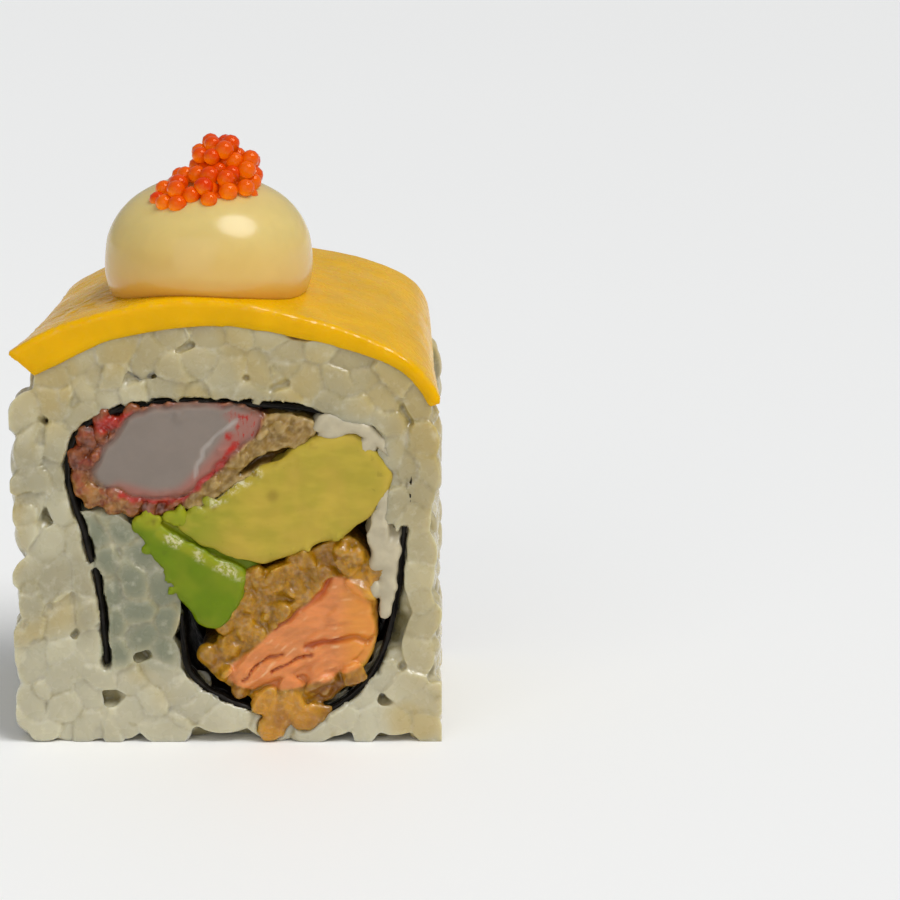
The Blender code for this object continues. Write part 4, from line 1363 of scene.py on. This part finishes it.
def build_mayonnaise():
    mango = bpy.data.objects["mango_slice_ripe"]
    bm = bmesh.new()
    bm.from_mesh(mango.data)
    bmesh.ops.scale(bm, vec=(1 / MM,) * 3, verts=bm.verts)
    tree = BVHTree.FromBMesh(bm)
    bm.free()

    def height_at(x, y):
        hit = tree.ray_cast(Vector((x, max(y, -CUT + 0.5), 80)), Vector((0, 0, -1)))[0]
        return hit.z if hit else 44.0

    mesh = to_mesh(settled_dome(height_at), "dome")
    points = read_points(mesh)
    over = points[:, 2] - np.array([height_at(p[0], p[1]) for p in points])
    # foot: painted reflection of the mango, stronger towards the dome's foot
    paint(mesh, foot=0.55 * step(over, 8.0, 1.0) + 0.45 * step(over, 2.6, 0.2))
    write_points(mesh, within_box(points))
    piece = finish_piece("mayonnaise_dome", mesh, mayonnaise_material(), "mayonnaise", "mayonnaise_dollop")
    finer = piece.modifiers.new("finer", "SUBSURF")
    finer.levels = finer.render_levels = 1


def roe_material():
    material, wire = new_food("roe")
    c = colours()
    base = wire.mask("amber").blend(tuple(c.roe), tuple(c.roe_amber))
    # painted glow: eggs deep in the heap are lightened to amber, as light through the heap; outer eggs vary
    # at random
    base = (wire.mask("deep") * 0.6).blend(base, srgb(232, 104, 0))
    base = (wire.mask("glow") * 0.7).blend(base, srgb(250, 146, 10))
    return finish_food(
        material,
        {
            "Base Color": base,
            "Roughness": 0.06,
            "Specular IOR Level": 0.35,
            "Specular Tint": (1.0, 0.75, 0.45, 1.0),
            "Normal": wire.grainy(0.6, 2.0).bump(0.02, 0.3),
            "Emission Color": wire.mask("glow").blend(srgb(60, 8, 0), srgb(250, 120, 0)),
            "Emission Strength": 0.25,
            **flesh_depth(0.2, 0.6, (1.0, 0.3, 0.03)),
        },
    )


def build_roe():
    low, high = (Vector(corner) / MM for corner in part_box("flying_fish_roe"))
    radius = sizes().egg_size / MM / 2
    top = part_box("mayonnaise_dollop")[1][2] / MM
    lumps = [(Vector(m) + Vector((0, 0, top)), Vector(r)) for m, r in ROE_LUMPS]

    def depth_in(spot):
        return min(Vector([(spot - m)[a] / r[a] for a in range(3)]).length for m, r in lumps)

    def layer(level):
        def draw(rng):
            middle, radii = lumps[rng.randrange(len(lumps))]
            way = Vector((rng.gauss(0, 1), rng.gauss(0, 1), rng.gauss(0, 1))).normalized()
            place = middle + Vector([way[a] * radii[a] for a in range(3)]) * level
            if depth_in(place) < level - 0.12:
                return None
            room = radius * LARGEST_EGG
            inside = [min(high[a] - room, max(low[a] + room, place[a])) for a in range(2)]
            return (Vector((*inside, min(high.z - room, place.z))),)

        return draw

    outer = scatter(layer(0.93), 9000, radius * 1.5, 71)
    inner = scatter(layer(0.5), 2000, radius * 1.6, 73)
    bm = bmesh.new()
    rng = random.Random(79)
    corners = 42
    ambers, deeps = [], []
    for k, (place,) in enumerate(outer + inner):
        size = radius * rng.uniform(0.9, LARGEST_EGG)
        add_lump(bm, place, (size, size, size * rng.uniform(0.94, 1.0)), Matrix.Identity(3), 2)
        ambers += [rng.random()] * corners
        # inner eggs take the full painted glow, outer ones a random amber tone
        deeps += [rng.random() ** 2 if k < len(outer) else 1.0] * corners
    mesh = to_mesh(bm, "roe")
    far_from_light = read_normals(mesh) @ np.array([-0.45, -0.35, -0.82])
    paint(mesh, glow=step(far_from_light, 0.1, 1.0), amber=ambers, deep=deeps)
    finish_piece("roe_eggs", mesh, roe_material(), "roe", "flying_fish_roe")


# Stage


def add_light(name, light, place, target):
    obj = bpy.data.objects.new(name, light)
    bpy.context.scene.collection.objects.link(obj)
    obj.location = place
    obj.rotation_euler = (Vector(target) - Vector(place)).to_track_quat("-Z", "Y").to_euler()


def build_stage():
    scene = bpy.context.scene
    settings = studio()
    scene.view_settings.view_transform = "Standard"

    world = bpy.data.worlds.new("surroundings")
    scene.world = world
    world.use_nodes = True
    background = world.node_tree.nodes["Background"]
    background.inputs["Color"].default_value = (*settings.sky, 1.0)
    background.inputs["Strength"].default_value = settings.sky_strength

    bm = bmesh.new()
    bmesh.ops.create_grid(bm, x_segments=1, y_segments=1, size=3.0)
    mesh = to_mesh(bm, "floor")
    floor = bpy.data.objects.new("floor", mesh)
    scene.collection.objects.link(floor)
    material, wire = new_food("floor")
    tint = settings.floor
    base = wire.grainy(400.0, 1.0).between(0.3, 0.7).blend(tuple(tint), shade(tint, 0.99))
    finish_food(material, {"Base Color": base, "Roughness": 0.6})
    mesh.materials.append(material)

    camera = bpy.data.objects.new("camera", bpy.data.cameras.new("camera"))
    scene.collection.objects.link(camera)
    back_and_up = Vector((0, -math.cos(CAMERA_TILT), math.sin(CAMERA_TILT)))
    camera.location = Vector(CAMERA_TARGET) + CAMERA_DISTANCE * back_and_up
    camera.rotation_euler = (math.pi / 2 - CAMERA_TILT, 0, 0)
    camera.data.sensor_width = 36.0
    camera.data.lens = camera.data.sensor_width * CAMERA_DISTANCE / VIEW_WIDTH
    camera.data.clip_start = 0.01
    scene.camera = camera

    overhead = bpy.data.lights.new("overhead", "SUN")
    overhead.angle = math.radians(36)
    overhead.energy = settings.overhead_strength
    add_light("overhead", overhead, (0.45, -0.28, 0.85), (0, 0, 0))
    front = bpy.data.lights.new("front_fill", "AREA")
    front.size = 0.9
    front.energy = settings.fill_power
    add_light("front_fill", front, (-0.25, -1.0, 0.45), (0, 0, 0.02))


# Operators and panel


class BuildPiece:
    """What every operator of this file shares."""

    bl_options = {"REGISTER", "UNDO"}

    def execute(self, context):
        self.build()
        return {"FINISHED"}


class URAMAKI_OT_stage(BuildPiece, bpy.types.Operator):
    """Adds the floor, the light and the camera"""

    bl_idname = "uramaki.stage"
    bl_label = "Stage"
    build = staticmethod(build_stage)


class URAMAKI_OT_rice(BuildPiece, bpy.types.Operator):
    """Adds the rice, grain by grain"""

    bl_idname = "uramaki.rice"
    bl_label = "Rice"
    build = staticmethod(build_rice)


class URAMAKI_OT_nori(BuildPiece, bpy.types.Operator):
    """Adds the seaweed sheet"""

    bl_idname = "uramaki.nori"
    bl_label = "Seaweed"
    build = staticmethod(build_nori)


class URAMAKI_OT_crab_stick(BuildPiece, bpy.types.Operator):
    """Adds the fried crab stick"""

    bl_idname = "uramaki.crab_stick"
    bl_label = "Crab stick"
    build = staticmethod(build_crab_stick)


class URAMAKI_OT_salmon(BuildPiece, bpy.types.Operator):
    """Adds the fried salmon"""

    bl_idname = "uramaki.salmon"
    bl_label = "Salmon tempura"
    build = staticmethod(build_salmon)


class URAMAKI_OT_avocado(BuildPiece, bpy.types.Operator):
    """Adds both avocado slices"""

    bl_idname = "uramaki.avocado"
    bl_label = "Avocado"
    build = staticmethod(build_avocado)


class URAMAKI_OT_cream_cheese(BuildPiece, bpy.types.Operator):
    """Adds the cream cheese"""

    bl_idname = "uramaki.cream_cheese"
    bl_label = "Cream cheese"
    build = staticmethod(build_cream_cheese)


class URAMAKI_OT_mango(BuildPiece, bpy.types.Operator):
    """Adds the mango slice"""

    bl_idname = "uramaki.mango"
    bl_label = "Mango slice"
    build = staticmethod(build_mango)


class URAMAKI_OT_mayonnaise(BuildPiece, bpy.types.Operator):
    """Adds the dome of mayonnaise on the mango slice"""

    bl_idname = "uramaki.mayonnaise"
    bl_label = "Mayonnaise"
    build = staticmethod(build_mayonnaise)


class URAMAKI_OT_roe(BuildPiece, bpy.types.Operator):
    """Adds the roe on the mayonnaise"""

    bl_idname = "uramaki.roe"
    bl_label = "Roe"
    build = staticmethod(build_roe)


OPERATORS = (
    URAMAKI_OT_stage,
    URAMAKI_OT_rice,
    URAMAKI_OT_nori,
    URAMAKI_OT_crab_stick,
    URAMAKI_OT_salmon,
    URAMAKI_OT_avocado,
    URAMAKI_OT_cream_cheese,
    URAMAKI_OT_mango,
    URAMAKI_OT_mayonnaise,
    URAMAKI_OT_roe,
)


class URAMAKI_PT_panel(bpy.types.Panel):
    """Lists the settings and the pieces"""

    bl_label = "Uramaki Roll"
    bl_space_type = "VIEW_3D"
    bl_region_type = "UI"
    bl_category = "Uramaki"

    def draw(self, context):
        for group in (sizes(), colours(), studio()):
            column = self.layout.column(align=True)
            for name in group.bl_rna.properties.keys():
                if name not in ("rna_type", "name"):
                    column.prop(group, name)
        for operator in OPERATORS:
            self.layout.operator(operator.bl_idname)


CLASSES = (RollSizes, RollColours, StudioSettings, *OPERATORS, URAMAKI_PT_panel)


def register():
    for item in CLASSES:
        bpy.utils.register_class(item)
    bpy.types.Scene.uramaki_sizes = bpy.props.PointerProperty(type=RollSizes)
    bpy.types.Scene.uramaki_colours = bpy.props.PointerProperty(type=RollColours)
    bpy.types.Scene.uramaki_studio = bpy.props.PointerProperty(type=StudioSettings)


def unregister():
    del bpy.types.Scene.uramaki_studio
    del bpy.types.Scene.uramaki_colours
    del bpy.types.Scene.uramaki_sizes
    for item in reversed(CLASSES):
        bpy.utils.unregister_class(item)


def main():
    register()
    bpy.ops.uramaki.stage()
    bpy.ops.uramaki.rice()
    bpy.ops.uramaki.nori()
    bpy.ops.uramaki.crab_stick()
    bpy.ops.uramaki.salmon()
    bpy.ops.uramaki.avocado()
    bpy.ops.uramaki.cream_cheese()
    bpy.ops.uramaki.mango()
    bpy.ops.uramaki.mayonnaise()
    bpy.ops.uramaki.roe()


if __name__ == "__main__":
    main()
